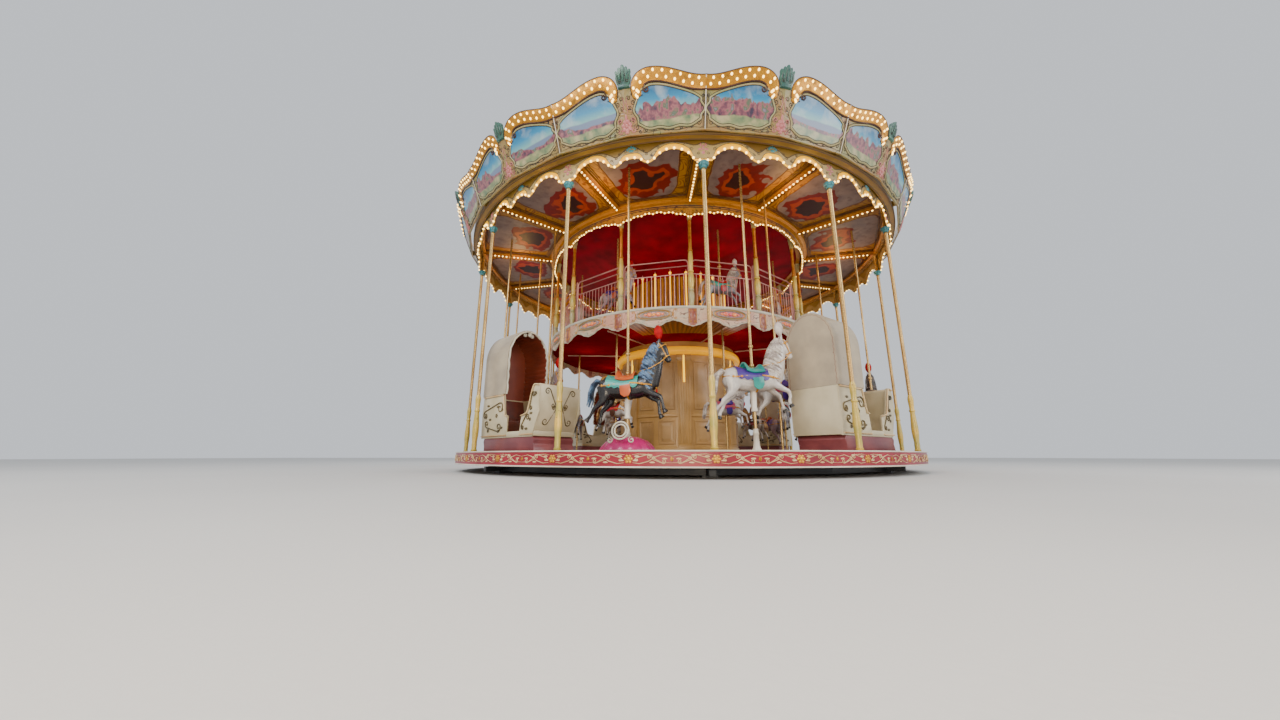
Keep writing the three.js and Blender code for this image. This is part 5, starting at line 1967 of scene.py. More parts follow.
@dataclass
class Rim:
    """The olive-gold cove under the rounding boards, with the brackets that hold them."""

    outer: float = 5.37
    lift: float = 0.065

    def build(self) -> None:
        """Builds the cove and the brackets."""
        inner, outer, high = 5.2405, self.outer, top_of("canopy_rim")
        low = foot_of("canopy_rim") + self.lift
        cove = Shape.ring(((inner, low), (inner + 0.03, low), (inner + 0.04, low + 0.006),
                           (5.33, low + 0.008), (outer - 0.012, low + 0.014), (outer, low + 0.026),
                           (outer, 5.45), (5.31, high), (inner, high)))
        bracket = Shape.slab(-0.03, 0.03, 5.33, 5.44, 0.1, 0.004)
        bracket.moved(lambda at: (at.x, 0.01 - outer if at.y > 0 else -5.426 - (at.z - 5.29) * 0.404, at.z))
        Shape.joined([cove, bracket.round_about()]).handed("cove_and_brackets", Palette.COVE, "canopy_rim")
        lines = [Shape.ring(((radius, z), (radius + 0.006, z - 0.006), (radius + 0.012, z),
                             (radius + 0.006, z + 0.004)))
                 for radius, z in ((5.26, low - 0.001), (5.352, low + 0.01))]
        Shape.joined(lines).handed("cove_lines", Palette.BROWN)


@dataclass
class Boards:
    """The leaning picture boards round the canopy, drawn as half a section and mirrored.

    Places on a board are x, the distance from the finial in the middle of a section, and the height.
    """

    foot_radius: float = 5.46
    foot: float = 5.29
    lean: float = 0.404
    seam_top: float = 5.918
    hump_top: float = 6.09
    hump: float = 0.4165
    picture: Pair = (0.2, 1.145)
    half: float = SECTION * 5.46 / 2
    scrolls: tuple[tuple[float, ...], ...] = (
        (1.19, 5.62, 0.03, 90, 1.4), (1.19, 5.74, 0.026, -90, -1.4), (1.185, 5.5, 0.026, 90, 1.4),
        (0.125, 5.74, 0.04, 0, -1.4), (0.12, 5.62, 0.035, 180, 1.4), (0.13, 5.86, 0.035, 180, 1.3),
        (0.2, 5.5, 0.045, 90, 1.4), (0.11, 5.5, 0.03, 0, -1.4), (0.3, 5.345, 0.035, 180, -1.4),
        (0.45, 5.34, 0.026, 90, 1.3), (0.85, 5.34, 0.026, 90, -1.3), (1.02, 5.345, 0.03, 0, 1.4),
        (0.6, 5.345, 0.03, 0, -1.4), (0.72, 5.335, 0.026, 180, 1.4), (0.16, 5.395, 0.045, 90, 1.5),
        (0.21, 5.33, 0.026, 0, -1.4), (1.13, 5.39, 0.04, 90, -1.4), (0.06, 5.66, 0.035, 0, 1.4),
        (0.055, 5.8, 0.035, 180, -1.4), (0.24, 5.96, 0.03, 90, 1.4))

    def crest(self, x: float) -> float:
        """Height of the crest's middle line, outside the hump."""
        share = (self.half - abs(x)) / (self.half - self.hump)
        return self.seam_top + (self.hump_top - self.seam_top) * math.sin(math.pi / 2 * min(share, 1.0)) ** 2

    def top(self, x: float) -> float:
        """Height of the board's own upper edge, which the crest hides."""
        share = abs(x) / self.hump
        return self.crest(x) if share > 1 else 5.93 + (self.hump_top - 5.93) * share ** 1.6

    def picture_at(self, u: float, v: float) -> Pair:
        """Place in the picture, with 0 to 1 across from the finial and up.

        Args:
            u: Share across.
            v: Share up.

        Returns:
            The place.
        """
        near, far = self.picture
        swell = 0.035 * math.sin(math.pi * v) - 0.02 * math.sin(3 * math.pi * v)
        x = near + (far - near) * u - swell * (1 - 2 * u)
        low = self.foot + 0.085 + 0.06 * (2 * abs(u - 0.5)) ** 4 + 0.012 * math.cos(6 * math.pi * u)
        high = self.crest(x) - 0.15 - 0.07 * (2 * abs(u - 0.5)) ** 5
        if x < self.hump:
            high = self.hump_top - 0.15 - 0.1 * ((self.hump - x) / (self.hump - near)) ** 1.5
        return x, low + (high - low) * v

    def outline(self, away: float, proud: float, radius: float, sides: int) -> Shape:
        """A raised line round a picture, at a distance from its edge.

        Args:
            away: The distance.
            proud: How far it stands out.
            radius: Its radius.
            sides: Its sides.

        Returns:
            The line.
        """
        steps = [k / 24 for k in range(24)]
        edges = ([(s, 0) for s in steps], [(1, s) for s in steps], [(1 - s, 1) for s in steps],
                 [(0, 1 - s) for s in steps])
        line = [self.picture_at(*place) for edge in edges for place in edge]
        return Shape.tube([(x, -proud, z) for x, z in offset_loop(line, away)], radius, sides, closed=True)

    def set_out(self, name: str, finish: Finish, parts: Sequence[Shape], *nodes: str,
                mirror: bool = True) -> None:
        """Mirrors parts of half a section, bends them onto the boards, and sets them round.

        Args:
            name: Name of the piece.
            finish: Its finish.
            parts: The parts.
            mirror: False for parts of a whole section.
            nodes: CAD nodes that it stands for.
        """
        shape = Shape.joined(parts)
        shape = shape.mirrored() if mirror else shape
        bent = shape.wrapped(self.foot_radius, self.lean, self.foot, True)
        bent.round_about(SECTIONS, SECTION / 2).handed(name, finish, *nodes)

    def frames(self) -> None:
        """Raised frames round the pictures, with dark lines inside and curls outside."""
        frame_tube = self.outline(0.016, 0.002, 0.016, 6).put(Matrix.Diagonal((1, 0.7, 1, 1)))
        self.set_out("picture_frames", Palette.SAGE, [frame_tube])
        parts = [self.outline(0.0, 0.008, 0.0055, 4), self.outline(0.036, 0.003, 0.004, 4)]
        places = (k * self.half / 40 for k in range(3, 41))
        foot_line = [(x, self.foot + 0.035 + 0.012 * math.sin(x * 14)) for x in places]
        parts.append(Shape.drawn(foot_line, 0.005, 0.002))
        parts += curls(self.scrolls, 0.0062, 0.003)
        for line in ([(0.165, 5.56), (0.15, 5.66), (0.17, 5.74), (0.15, 5.83), (0.17, 5.92)],
                     [(1.16, 5.42), (1.175, 5.52), (1.16, 5.62), (1.175, 5.72), (1.165, 5.78)]):
            parts.append(Shape.drawn(line, 0.005, 0.003))
        for x in (self.half - 0.016, self.half - 0.034):
            parts.append(Shape.drawn([(x, 5.31), (x, 5.55), (x, 5.8)], 0.004, 0.003, taper=False))
        self.set_out("board_scroll_lines", Palette.INK, parts)

    def rosettes(self) -> None:
        """Rosy flowers at the foot of the boards, under the finials."""
        petals = [Vector((math.cos(turn), math.sin(turn))) for turn in (k * TURN / 7 + 0.3 for k in range(7))]
        parts = [Shape.ball(0.032, (0, -0.006, 5.42), 10, 6, (1, 0.5, 1))]
        parts += beads(((0.034, 0.058 * at.x, 5.42 + 0.062 * at.y, (1, 0.4, 1)) for at in petals), -0.004)
        parts += beads(((0.03, 0, 5.53, (0.7, 0.4, 1.7)), (0.026, 0, 5.33, (1.4, 0.4, 0.8))), -0.004)
        sides = curls([(0.1, 5.36, 0.045, 90, -1.3), (0.1, 5.5, 0.04, -90, 1.3)], 0.008, 0.005)
        sides.append(Shape.drawn([(0.02, 5.58), (0.04, 5.66), (0.015, 5.74), (0.035, 5.82)], 0.006, 0.004))
        self.set_out("board_rosettes", Palette.ROSE, [*parts, Shape.joined(sides).mirrored()], mirror=False)

    def build(self) -> None:
        """Builds the boards and all that is painted and carved on them."""
        board = Shape.strip(2 * self.half, 96, 8, lambda x: self.foot, self.top).thick(0.026)
        self.set_out("board_sheets", Palette.BOARD, [board], "rounding_boards", mirror=False)
        view = Shape.sheet(28, 10, lambda u, v: (self.picture_at(u, v)[0], -0.004, self.picture_at(u, v)[1]))
        view.charted(lambda at: (at.x, at.z - self.foot - 0.085)).thick(0.005)
        self.set_out("painted_views", Palette.VIEW, [view])
        self.frames()
        self.rosettes()
        batten = Shape.slab(self.half - 0.007, self.half, self.foot, self.seam_top + 0.085, 0.01, 0.002)
        batten.moved(lambda at: (at.x, at.y - (0.012 if at.z > 5.7 else 0.003), at.z))
        self.set_out("board_seams", Palette.WHITE, [batten])


@dataclass
class Crest:
    """The golden crest along the top of the boards, with its bulbs and the teal finials."""

    boards: Boards = field(default_factory=Boards)
    half_width: float = 0.098
    proud: float = 0.014
    pitch: float = 0.135
    half_finial: tuple[Pair, ...] = (
        (0.075, 5.93), (0.085, 5.975), (0.105, 6.02), (0.12, 6.08), (0.112, 6.13), (0.122, 6.17),
        (0.1, 6.188), (0.078, 6.165), (0.074, 6.205), (0.054, 6.222), (0.036, 6.2), (0.022, 6.236))

    def path(self) -> list[Pair]:
        """Middle line of the crest, from the seam over the hump and down beside the finial.

        Returns:
            The line.
        """
        boards = self.boards
        line = line_of(boards.crest, boards.half, boards.hump, 40)
        for turn in (math.radians(90 + index * 5.2) for index in range(1, 25)):
            x, z = boards.hump + 0.235 * math.cos(turn), boards.hump_top - 0.19 + 0.19 * math.sin(turn)
            line.append((x, z))
        return [*line, (0.178, 5.86), (0.172, 5.83)]

    def width_at(self, share: float) -> float:
        """Half width of the band at a share of its length from the seam."""
        return self.half_width * (1 - 0.42 * max(0.0, (share - 0.72) / 0.28) ** 1.2)

    def build(self) -> None:
        """Builds the band, its lines and its two staggered rows of bulbs."""
        line, lay = self.path(), self.boards.set_out
        inner = offset_line(line, self.width_at)
        outer = offset_line(line, lambda share: -self.width_at(share))
        band = Shape.sheet(90, 10, lambda u, v: between(
            outer, inner, u, v, -self.proud * (0.35 + math.sin(math.pi * v) ** 0.5))).thick(0.03)
        boss = Shape.ball(0.058, (line[-1][0], -0.004, line[-1][1]), 12, 8, (1, 0.35, 1))
        lay("crest_band", Palette.RAIL_GOLD, [band, boss], "crest_rail")
        lower = [(x, z) for x, z in inner if x > 0.3]
        lay("crest_lines", Palette.BROWN,
            [Shape.drawn(lower + volute(0.335, 5.895, 0.05, 120, 1.3), 0.012, 0.008, 6, taper=False),
             Shape.drawn(outer[:-2], 0.006, 0.008, taper=False)])
        rosy = offset_line(lower, lambda share: -0.022)
        lay("crest_rosy_lines", Palette.ROSE, [Shape.drawn(rosy, 0.007, 0.004, taper=False)])
        rows = []
        for share, start in ((0.3, 0), (0.72, 2)):
            rows += paced([blend(a, b, share) for a, b in zip(inner, outer)][start:], self.pitch)
        lay("crest_bulbs", Palette.BULB, [bulbs(0.019, [(x, -self.proud - 0.008, z) for x, z in rows])])
        self.finials()

    def finials(self) -> None:
        """A teal crown of five leaves on the middle of each section."""
        outline = [(0.0, 5.93), *self.half_finial, (0.0, 6.244),
                   *((-x, z) for x, z in reversed(self.half_finial))]
        parts = [Shape.prism(outline, 0.05, 0.012)]
        parts += [Shape.ball(0.026, (x, -0.02, z), 8, 6, (0.75, 0.5, tall)) for x, z, tall in (
            (0, 6.1, 3.2), (0.055, 6.085, 2.6), (-0.055, 6.085, 2.6), (0.092, 6.06, 1.8),
            (-0.092, 6.06, 1.8))]
        parts.append(Shape.slab(-0.09, 0.09, 5.932, 5.97, 0.08, 0.01))
        self.boards.set_out("crest_finials", Palette.FINIAL, parts, mirror=False)
        veins = [Shape.drawn(line, 0.005, proud) for line, proud in (
            (volute(0.06, 6.02, 0.026, 90, 1.3), 0.03), ([(0.028, 5.98), (0.03, 6.1), (0.02, 6.19)], 0.036),
            ([(0.08, 6.02), (0.088, 6.08), (0.082, 6.14)], 0.034))]
        self.boards.set_out("finial_veins", Palette.INK, veins)


@dataclass
class Roof:
    """The conical roof of painted sheets with a batten on each joint, and its gilded finial."""

    eaves: float = 5.3
    low: float = 5.482
    crown: float = 0.3
    high: float = 8.0
    sag: float = 0.02
    finial: tuple[Pair, ...] = (
        (0.36, 0), (0.36, 0.02), (0.33, 0.05), (0.27, 0.13), (0.2, 0.16), (0.12, 0.2), (0.09, 0.246),
        (0.1, 0.26), (0.14, 0.31), (0.155, 0.37), (0.14, 0.43), (0.09, 0.48), (0.05, 0.5), (0.06, 0.52),
        (0.04, 0.546), (0.024, 0.62))

    def sagged(self, at: Vector) -> Point:
        """A place on the sheets after they sag between the battens.

        Args:
            at: Place on a straight sheet.

        Returns:
            The sagged place.
        """
        out = math.hypot(at.x, at.y)
        if out >= self.eaves - 0.5:
            return tuple(at)
        fall = abs(math.sin(turn_of(at) * SECTIONS / 2)) * min(1.0, (out - self.crown + 0.03) / 2.0)
        return at.x, at.y, at.z - self.sag * fall

    def build(self) -> None:
        """Builds the roof."""
        eaves, low, crown, high = self.eaves, self.low, self.crown, self.high
        sheets = Shape.ring(((eaves - 0.02, low + 0.01), (eaves, low + 0.012), (crown, high),
                             (crown, high + 0.014), (crown - 0.03, high + 0.014),
                             (crown - 0.03, high - 0.02)), SECTIONS * 8)
        sheets.moved(self.sagged).handed("roof_sheets", Palette.ROOF, "canopy_roof")
        points = [(0, 0.01 - eaves, low + 0.02), (0, -(eaves + crown) / 2, (low + high) / 2 + 0.014),
                  (0, -crown, high + 0.012)]
        cap = Shape.ring(((crown - 0.02, high + 0.013), (crown + 0.05, high - 0.04),
                          (crown + 0.06, high - 0.02), (crown, high + 0.0145)), SECTIONS * 4)
        edge = Shape.ring(((eaves - 0.06, low + 0.022), (eaves - 0.01, low + 0.014), (eaves, low + 0.014),
                           (eaves, low + 0.034), (eaves - 0.06, low + 0.05)))
        battens = Shape.tube(points, 0.022, 8).round_about()
        Shape.joined([battens, cap, edge]).handed("roof_battens", Palette.GOLD)
        base = foot_of("roof_finial")
        profile = [(radius, base + height) for radius, height in self.finial]
        finial = Shape.turned([*profile, (0.008, top_of("roof_finial") - 0.001)], 28)
        finial.handed("gilded_roof_finial", Palette.GOLD, "roof_finial")


@dataclass
class ShellBases:
    """Magenta shell-shaped bases round two pole feet, with a pale ring on their outer side."""

    lobes: int = 11
    stretch: float = 1.12
    profile: tuple[Pair, ...] = ((0.4, 0), (0.4, 0.02), (0.385, 0.05), (0.35, 0.1), (0.29, 0.155), (0.2, 0.2),
                                 (0.14, 0.219), (0.09, 0.219))

    def build(self) -> None:
        """Builds both bases."""
        turns = [k * math.pi / 12 for k in range(24)]
        for index, slot in enumerate(SHELL_SLOTS, 1):
            place = placed(outer_angle(slot), OUTER_ROW, foot_of(f"shell_base_{index}"))
            shell = Shape.turned(self.profile, self.lobes * 8, filled=False).thick(0.012)
            shell.moved(lambda at: lobed(at, self.lobes, 0.06))
            shell.put(place @ Matrix.Diagonal((self.stretch, 1, 1, 1)))
            shell.handed(f"shell_foot_{index}", Palette.MAGENTA, f"shell_base_{index}")
            rings = []
            for out in (0.13, 0.09):
                line = [(out * math.cos(t), -0.36 + 0.02 * math.sin(t), 0.3 + out * math.sin(t))
                        for t in turns]
                rings.append(Shape.tube(line, 0.014, 8, closed=True))
            rings += curls(((-0.17, 0.16, 0.05, 90, -1.3), (0.17, 0.16, 0.05, 90, 1.3)), 0.012, 0.35)
            Shape.joined(rings).put(place).handed(f"shell_ring_{index}", Palette.CREAM)


@dataclass
class Chariots:
    """Four hooded chariots with curved cream sides, bronze scrolls and red-brown seats.

    Places on a chariot are x, forwards, y, inwards, and the height.
    """

    half: float = 0.44
    rear: float = -1.0
    front: float = 0.8
    low: float = 0.3805
    hood_length: float = 0.77
    scallops: int = 14
    nose: tuple[Pair, ...] = ((0.63, 0.62), (0.8, 0.7), (1.0, 0.765), (1.2, 0.79), (1.4, 0.797))
    dash: tuple[Pair, ...] = (
        (0.62, 0.63), (0.7, 0.8), (0.765, 1.0), (0.79, 1.2), (0.797, 1.4), (0.79, 1.465), (0.76, 1.488),
        (0.72, 1.485), (0.695, 1.45), (0.7, 1.41), (0.72, 1.2), (0.705, 1.02), (0.65, 0.85), (0.56, 0.7))
    seat: tuple[Pair, ...] = (
        (-0.94, 0.72), (-0.42, 0.72), (-0.4, 0.9), (-0.405, 0.945), (-0.45, 0.968), (-0.7, 0.955),
        (-0.86, 0.962), (-0.9, 1.2), (-0.935, 1.36), (-0.94, 1.38))
    flowers: tuple[tuple[float, ...], ...] = (
        (-0.85, 1.02, 0.045), (-0.48, 1.02, 0.04), (-0.3, 1.12, 0.035), (-0.75, 0.76, 0.035),
        (-0.4, 0.74, 0.03), (0.38, 0.76, 0.03), (0.7, 1.32, 0.04), (0.58, 0.9, 0.03))

    def sweep(self, x: float) -> float:
        """Height of the upper edge of a side.

        Args:
            x: Place along the side.

        Returns:
            The height.
        """
        if x < -0.3:
            return 1.4
        if x < -0.2:
            return 1.4 - 0.38 * (1 - math.cos((x + 0.3) / 0.1 * math.pi)) / 2
        if x < 0.45:
            return 1.02 - 0.05 * math.sin((x + 0.2) / 0.65 * math.pi)
        if x < 0.66:
            return 1.02 + 0.47 * (1 - math.cos((x - 0.45) / 0.21 * math.pi)) / 2
        return 1.49 - 0.03 * ((x - 0.66) / 0.14) ** 2

    def side(self, sign: int) -> Shape:
        """One bowed side wall. The one on the outer side has a doorway.

        Args:
            sign: -1 for the outer side and 1 for the inner one.

        Returns:
            The wall.
        """
        def rule(u: float, v: float) -> Point:
            """Place on the wall.

            Args:
                u: Share along it.
                v: Share up it.

            Returns:
                The place.
            """
            x = self.rear + 0.002 + (self.front - self.rear - 0.004) * u
            low, high = 0.62 + 0.4 * max(0.0, (x - 0.64) / 0.16) ** 0.8, self.sweep(x)
            if sign < 0 and -0.12 < x < 0.28:
                high = min(high, 0.72)
            bow = 0.012 * math.sin(math.pi * v)
            return x, sign * (self.half - 0.014 + bow), low + (high - low) * v

        return Shape.sheet(90, 6, rule).flipped(sign > 0).thick(0.03)

    def build(self) -> None:
        """Builds one chariot and sets it in its four places."""
        wide = 2 * self.half - 0.05
        plinth = Shape.prism([(-0.9, self.low), (0.7, self.low), (0.68, 0.46), (0.66, 0.5), (0.68, 0.58),
                              (0.62, 0.63), (-0.9, 0.63), (-0.93, 0.56), (-0.9, 0.48)], wide, 0.01)
        sides = Shape.joined([self.side(-1), self.side(1), Shape.slab(-0.98, 0.66, 0.63, 0.72, wide),
                              Shape.slab(-0.998, -0.94, 0.63, 1.4, wide - 0.01, 0.008)])
        parts = [("chariot_plinth", Palette.MAUVE, plinth),
                 ("chariot_sides", Palette.CHARIOT, sides, "chariot_body"),
                 ("chariot_dash", Palette.CHARIOT, Shape.prism(self.dash, wide, 0.006)),
                 ("chariot_seat", Palette.SEAT, Shape.prism(self.seat, wide - 0.035, 0.02)),
                 ("chariot_scrolls", Palette.SCROLL_BRONZE, self.scrolls()),
                 ("chariot_edges", Palette.SCROLL_CREAM, self.edges()),
                 ("chariot_hood_shell", Palette.HOOD, self.hood(), "chariot_hood"),
                 ("chariot_hood_lining", Palette.LINING, self.lining()),
                 ("chariot_hood_rim", Palette.CREAM, self.rim())]
        for name, finish, pattern, *nodes in parts:
            for index, slot in enumerate(CHARIOT_SLOTS, 1):
                copy = pattern.twin(placed(outer_angle(slot), OUTER_ROW))
                copy.handed(f"{name}_{index}", finish, *(f"{node}_{index}" for node in nodes))
            bpy.data.objects.remove(pattern.piece)

    def scrolls(self) -> Shape:
        """Dark scrolls and flowers on both sides and on the dash.

        Returns:
            The scrolls and flowers.
        """
        flat = [Shape.drawn(c_scroll(*row), 0.011, self.half + 0.004, 6) for row in (
            (-0.62, 1.1, 0.5, 0.1, 12), (-0.6, 0.85, 0.42, 0.08, -10, -1), (0.44, 0.86, 0.2, 0.055, 50),
            (0.62, 1.2, 0.22, 0.05, 75))]
        leaves = ((-0.8, 1.22), (-0.45, 1.18), (-0.7, 0.96), (-0.3, 0.8), (0.48, 0.75), (0.6, 1.0))
        flat += beads(((0.03, x, z, (1.6, 0.35, 0.7)) for x, z in leaves), -self.half - 0.002)
        for x, z, size in self.flowers:
            flat += [Shape.ball(size * 0.4, (x + size * 0.62 * math.cos(turn), -self.half - 0.003,
                                             z + size * 0.62 * math.sin(turn)), 6, 4, (1, 0.5, 1))
                     for turn in (k * 1.2566 for k in range(5))]
        front = [Shape.drawn(c_scroll(*row), 0.011, 0.0, 6) for row in (
            (0.2, 1.25, 0.26, 0.06, 60), (0.18, 0.98, 0.26, 0.06, -60, -1))]
        front = Shape.joined([*front, Shape.ball(0.06, (0, 0, 1.12), 12, 7, (1, 0.35, 1.3))]).mirrored()
        front.moved(lambda at: (self.nose_at(at.z) - at.y, at.x, at.z))
        return Shape.joined([Shape.joined(flat).mirrored(across=True), front])

    def edges(self) -> Shape:
        """The pale edges of the sides.

        Returns:
            The edges.
        """
        rear = [x for x in (self.rear + 0.02 + k * 0.022 for k in range(40)) if x < -0.13]
        fore = [x for x in (0.3 + k * 0.02 for k in range(25)) if x < 0.79]
        lines = [([(x, self.sweep(x) - 0.014) for x in places], 0.013) for places in (rear, fore)]
        lines += [([(-0.98, 0.66), (-0.13, 0.66)], 0.012), ([(0.29, 0.66), (0.66, 0.66)], 0.012)]
        made = [Shape.drawn(line, radius, self.half + 0.002, 6, taper=False) for line, radius in lines]
        return Shape.joined(made).mirrored(across=True)

    def nose_at(self, height: float) -> float:
        """How far forwards the dash reaches at a height.

        Args:
            height: The height.

        Returns:
            The place.
        """
        for (low, near), (high, far) in pairwise(self.nose):
            if height <= high:
                return near + (far - near) * (height - low) / (high - low)
        return self.nose[-1][1]

    def arch(self, turn: float, inset: float) -> Pair:
        """Place on the hood's arch, from 0 at its outer foot to 1 at its inner foot.

        Args:
            turn: Share along the arch.
            inset: Distance inside the hood's skin.

        Returns:
            Place across and height.
        """
        low, shoulder, high, leg = 1.402, 1.402 + 1.268 * 0.55, 2.668, 0.24
        half = self.half - inset
        foot = min(turn, 1 - turn)
        if foot < leg:
            return math.copysign(half, turn - 0.5), low + (shoulder - low) * foot / leg
        angle = math.pi * (1 - (turn - leg) / (1 - 2 * leg))
        return half * math.cos(angle), shoulder + (high - shoulder - inset) * math.sin(angle)

    def vault(self, columns: int, inset: Curve) -> Shape:
        """A skin along the arch, facing out."""
        foot = self.rear + 0.002
        return Shape.sheet(columns, 8, lambda u, v: (foot + self.hood_length * v, *self.arch(u, inset(u))))

    def wall(self, inset: float, depth: float, place: float) -> Shape:
        """The upright back of the hood."""
        back = Shape.prism([self.arch(k / 36, inset) for k in range(37)], depth)
        return back.moved(lambda at: (self.rear + place + at.y * 0.9, at.x, at.z))

    def hood(self) -> Shape:
        """The shell of the hood."""
        skin = self.vault(36, lambda u: 0.002).thick(0.014)
        return Shape.joined([skin, self.wall(0.004, 0.02, 0.014)]).outwards()

    def lining(self) -> Shape:
        """The pleated lining of the hood."""
        skin = self.vault(144, lambda u: 0.022 + 0.006 * math.sin(u * TURN * 30))
        return Shape.joined([skin.flipped().thick(0.004), self.wall(0.034, 0.01, 0.034)])

    def rim(self) -> Shape:
        """The scalloped rim of the hood, with three carved knobs.

        Returns:
            The rim and the knobs.
        """
        points = []
        for index in range(self.scallops * 6 + 1):
            share = index / (self.scallops * 6)
            wave = 0.022 * abs(math.sin(share * math.pi * self.scallops))
            points.append((self.rear + self.hood_length + wave, *self.arch(share, 0.02)))
        knobs = []
        for lean in (-0.9, 0.0, 0.9):
            x = self.rear + self.hood_length - 0.01 - 0.05 * abs(lean)
            knobs.append(Shape.ball(0.05, (x, math.sin(lean) * 0.1, 2.6), 8, 6, (0.6, 1.0, 1.0)))
        second = Shape.tube([(x - 0.035, y, z) for x, y, z in points], 0.008)
        return Shape.joined([Shape.tube(points, 0.017, 8), second, *knobs])


# Horses. Places on a horse are x, forwards, y, across, and z, up from the middle of its barrel.

Oval = tuple[float, float, float, float]


class Gait(Enum):
    """How far the feet swing, forwards for the fore legs and backwards for the hind legs."""

    LEAP = 0.0
    CANTER = 0.035


@dataclass(frozen=True)
class Livery:
    """The colours of one horse and its tack."""

    coat: Coat
    mane: Strands
    blanket: Lacquer
    saddle: Lacquer
    plume: Lacquer
    gait: Gait = Gait.LEAP

    def groups(self) -> tuple[list[Finish], list[Finish]]:
        """Finishes of the carved figure and of the tack, in the order of their slots."""
        return [self.coat, self.mane, Palette.HOOF], [self.blanket, self.saddle, Palette.GOLD, self.plume]


class Stable:
    """The coats, manes and tack colours that the horses are painted in."""

    BLACK = Coat("coat_black", "horse_paint", "#1c1a1c", "#0e0c0e")
    GREY = Coat("coat_dapple_grey", "horse_paint", "#a8a4a4", "#6e6a70", 0.7)
    WHITE = Coat("coat_white", "horse_paint", "#d4cdc4", "#a89c94", 0.25)
    CREAM = Coat("coat_cream", "horse_paint", "#c8b494", "#a08464")
    TAN = Coat("coat_tan", "horse_paint", "#9a6a48", "#6e4228")
    ROSE_GREY = Coat("coat_rose_grey", "horse_paint", "#b4a0a0", "#86707a", 0.6)
    BLUE_MANE = Strands("mane_blue_grey", "horse_paint", "#5a7a9c", "#1c2c44")
    PALE_MANE = Strands("mane_pale", "horse_paint", "#c8bcae", "#8a7c74")
    DARK_MANE = Strands("mane_dark", "horse_paint", "#4a3a30", "#1e1612")
    GOLD_MANE = Strands("mane_golden", "horse_paint", "#b88a4c", "#6a4018")
    TEAL = Lacquer("tack_teal", "gold_paint", "#1f9c8c", "#12706c", 0.32, chips="#c8a040", chipped=0.7)
    ORANGE = Lacquer("tack_orange", "gold_paint", "#c85a24", "#963a14", 0.34)
    RED = Lacquer("tack_red", "gold_paint", "#b8141e", "#8a0a14", 0.32, chips="#c8a040")
    PURPLE = Lacquer("tack_purple", "gold_paint", "#4a2a8c", "#301866", 0.32, chips="#c8a040")
    ROSE = Lacquer("tack_rose", "gold_paint", "#c8506a", "#9a3050", 0.32, chips="#e0c080")
    GREEN = Lacquer("tack_green", "gold_paint", "#2a7a3c", "#185428", 0.32, chips="#c8a040")
    LEATHER = Lacquer("saddle_brown", "gold_paint", "#5a3018", "#3c1e0e", 0.4)
    PLUME = Lacquer("plume_red", "gold_paint", "#b80008", "#880006", 0.65, patches=12.0, coat=0.0, shine=0.2)
    PALE_PLUME = Lacquer("plume_pale", "gold_paint", "#d8ccc0", "#b09c98", 0.55, patches=12.0)

    OUTER = (
        Livery(BLACK, BLUE_MANE, TEAL, ORANGE, PLUME),
        Livery(WHITE, PALE_MANE, PURPLE, TEAL, PALE_PLUME, Gait.CANTER),
        Livery(GREY, DARK_MANE, RED, LEATHER, PLUME),
        Livery(WHITE, GOLD_MANE, GREEN, RED, PALE_PLUME, Gait.CANTER),
        Livery(WHITE, GOLD_MANE, ROSE, PURPLE, PLUME),
        Livery(CREAM, PALE_MANE, TEAL, RED, PLUME, Gait.CANTER),
        Livery(BLACK, DARK_MANE, RED, TEAL, PLUME),
        Livery(ROSE_GREY, PALE_MANE, PURPLE, ROSE, PALE_PLUME),
        Livery(WHITE, BLUE_MANE, TEAL, LEATHER, PLUME, Gait.CANTER),
        Livery(TAN, DARK_MANE, ORANGE, PURPLE, PLUME))
    INSIDE = (
        Livery(WHITE, PALE_MANE, ROSE, PURPLE, PLUME),
        Livery(GREY, PALE_MANE, TEAL, RED, PALE_PLUME, Gait.CANTER),
        Livery(WHITE, GOLD_MANE, RED, LEATHER, PLUME),
        Livery(ROSE_GREY, PALE_MANE, PURPLE, ORANGE, PLUME, Gait.CANTER))


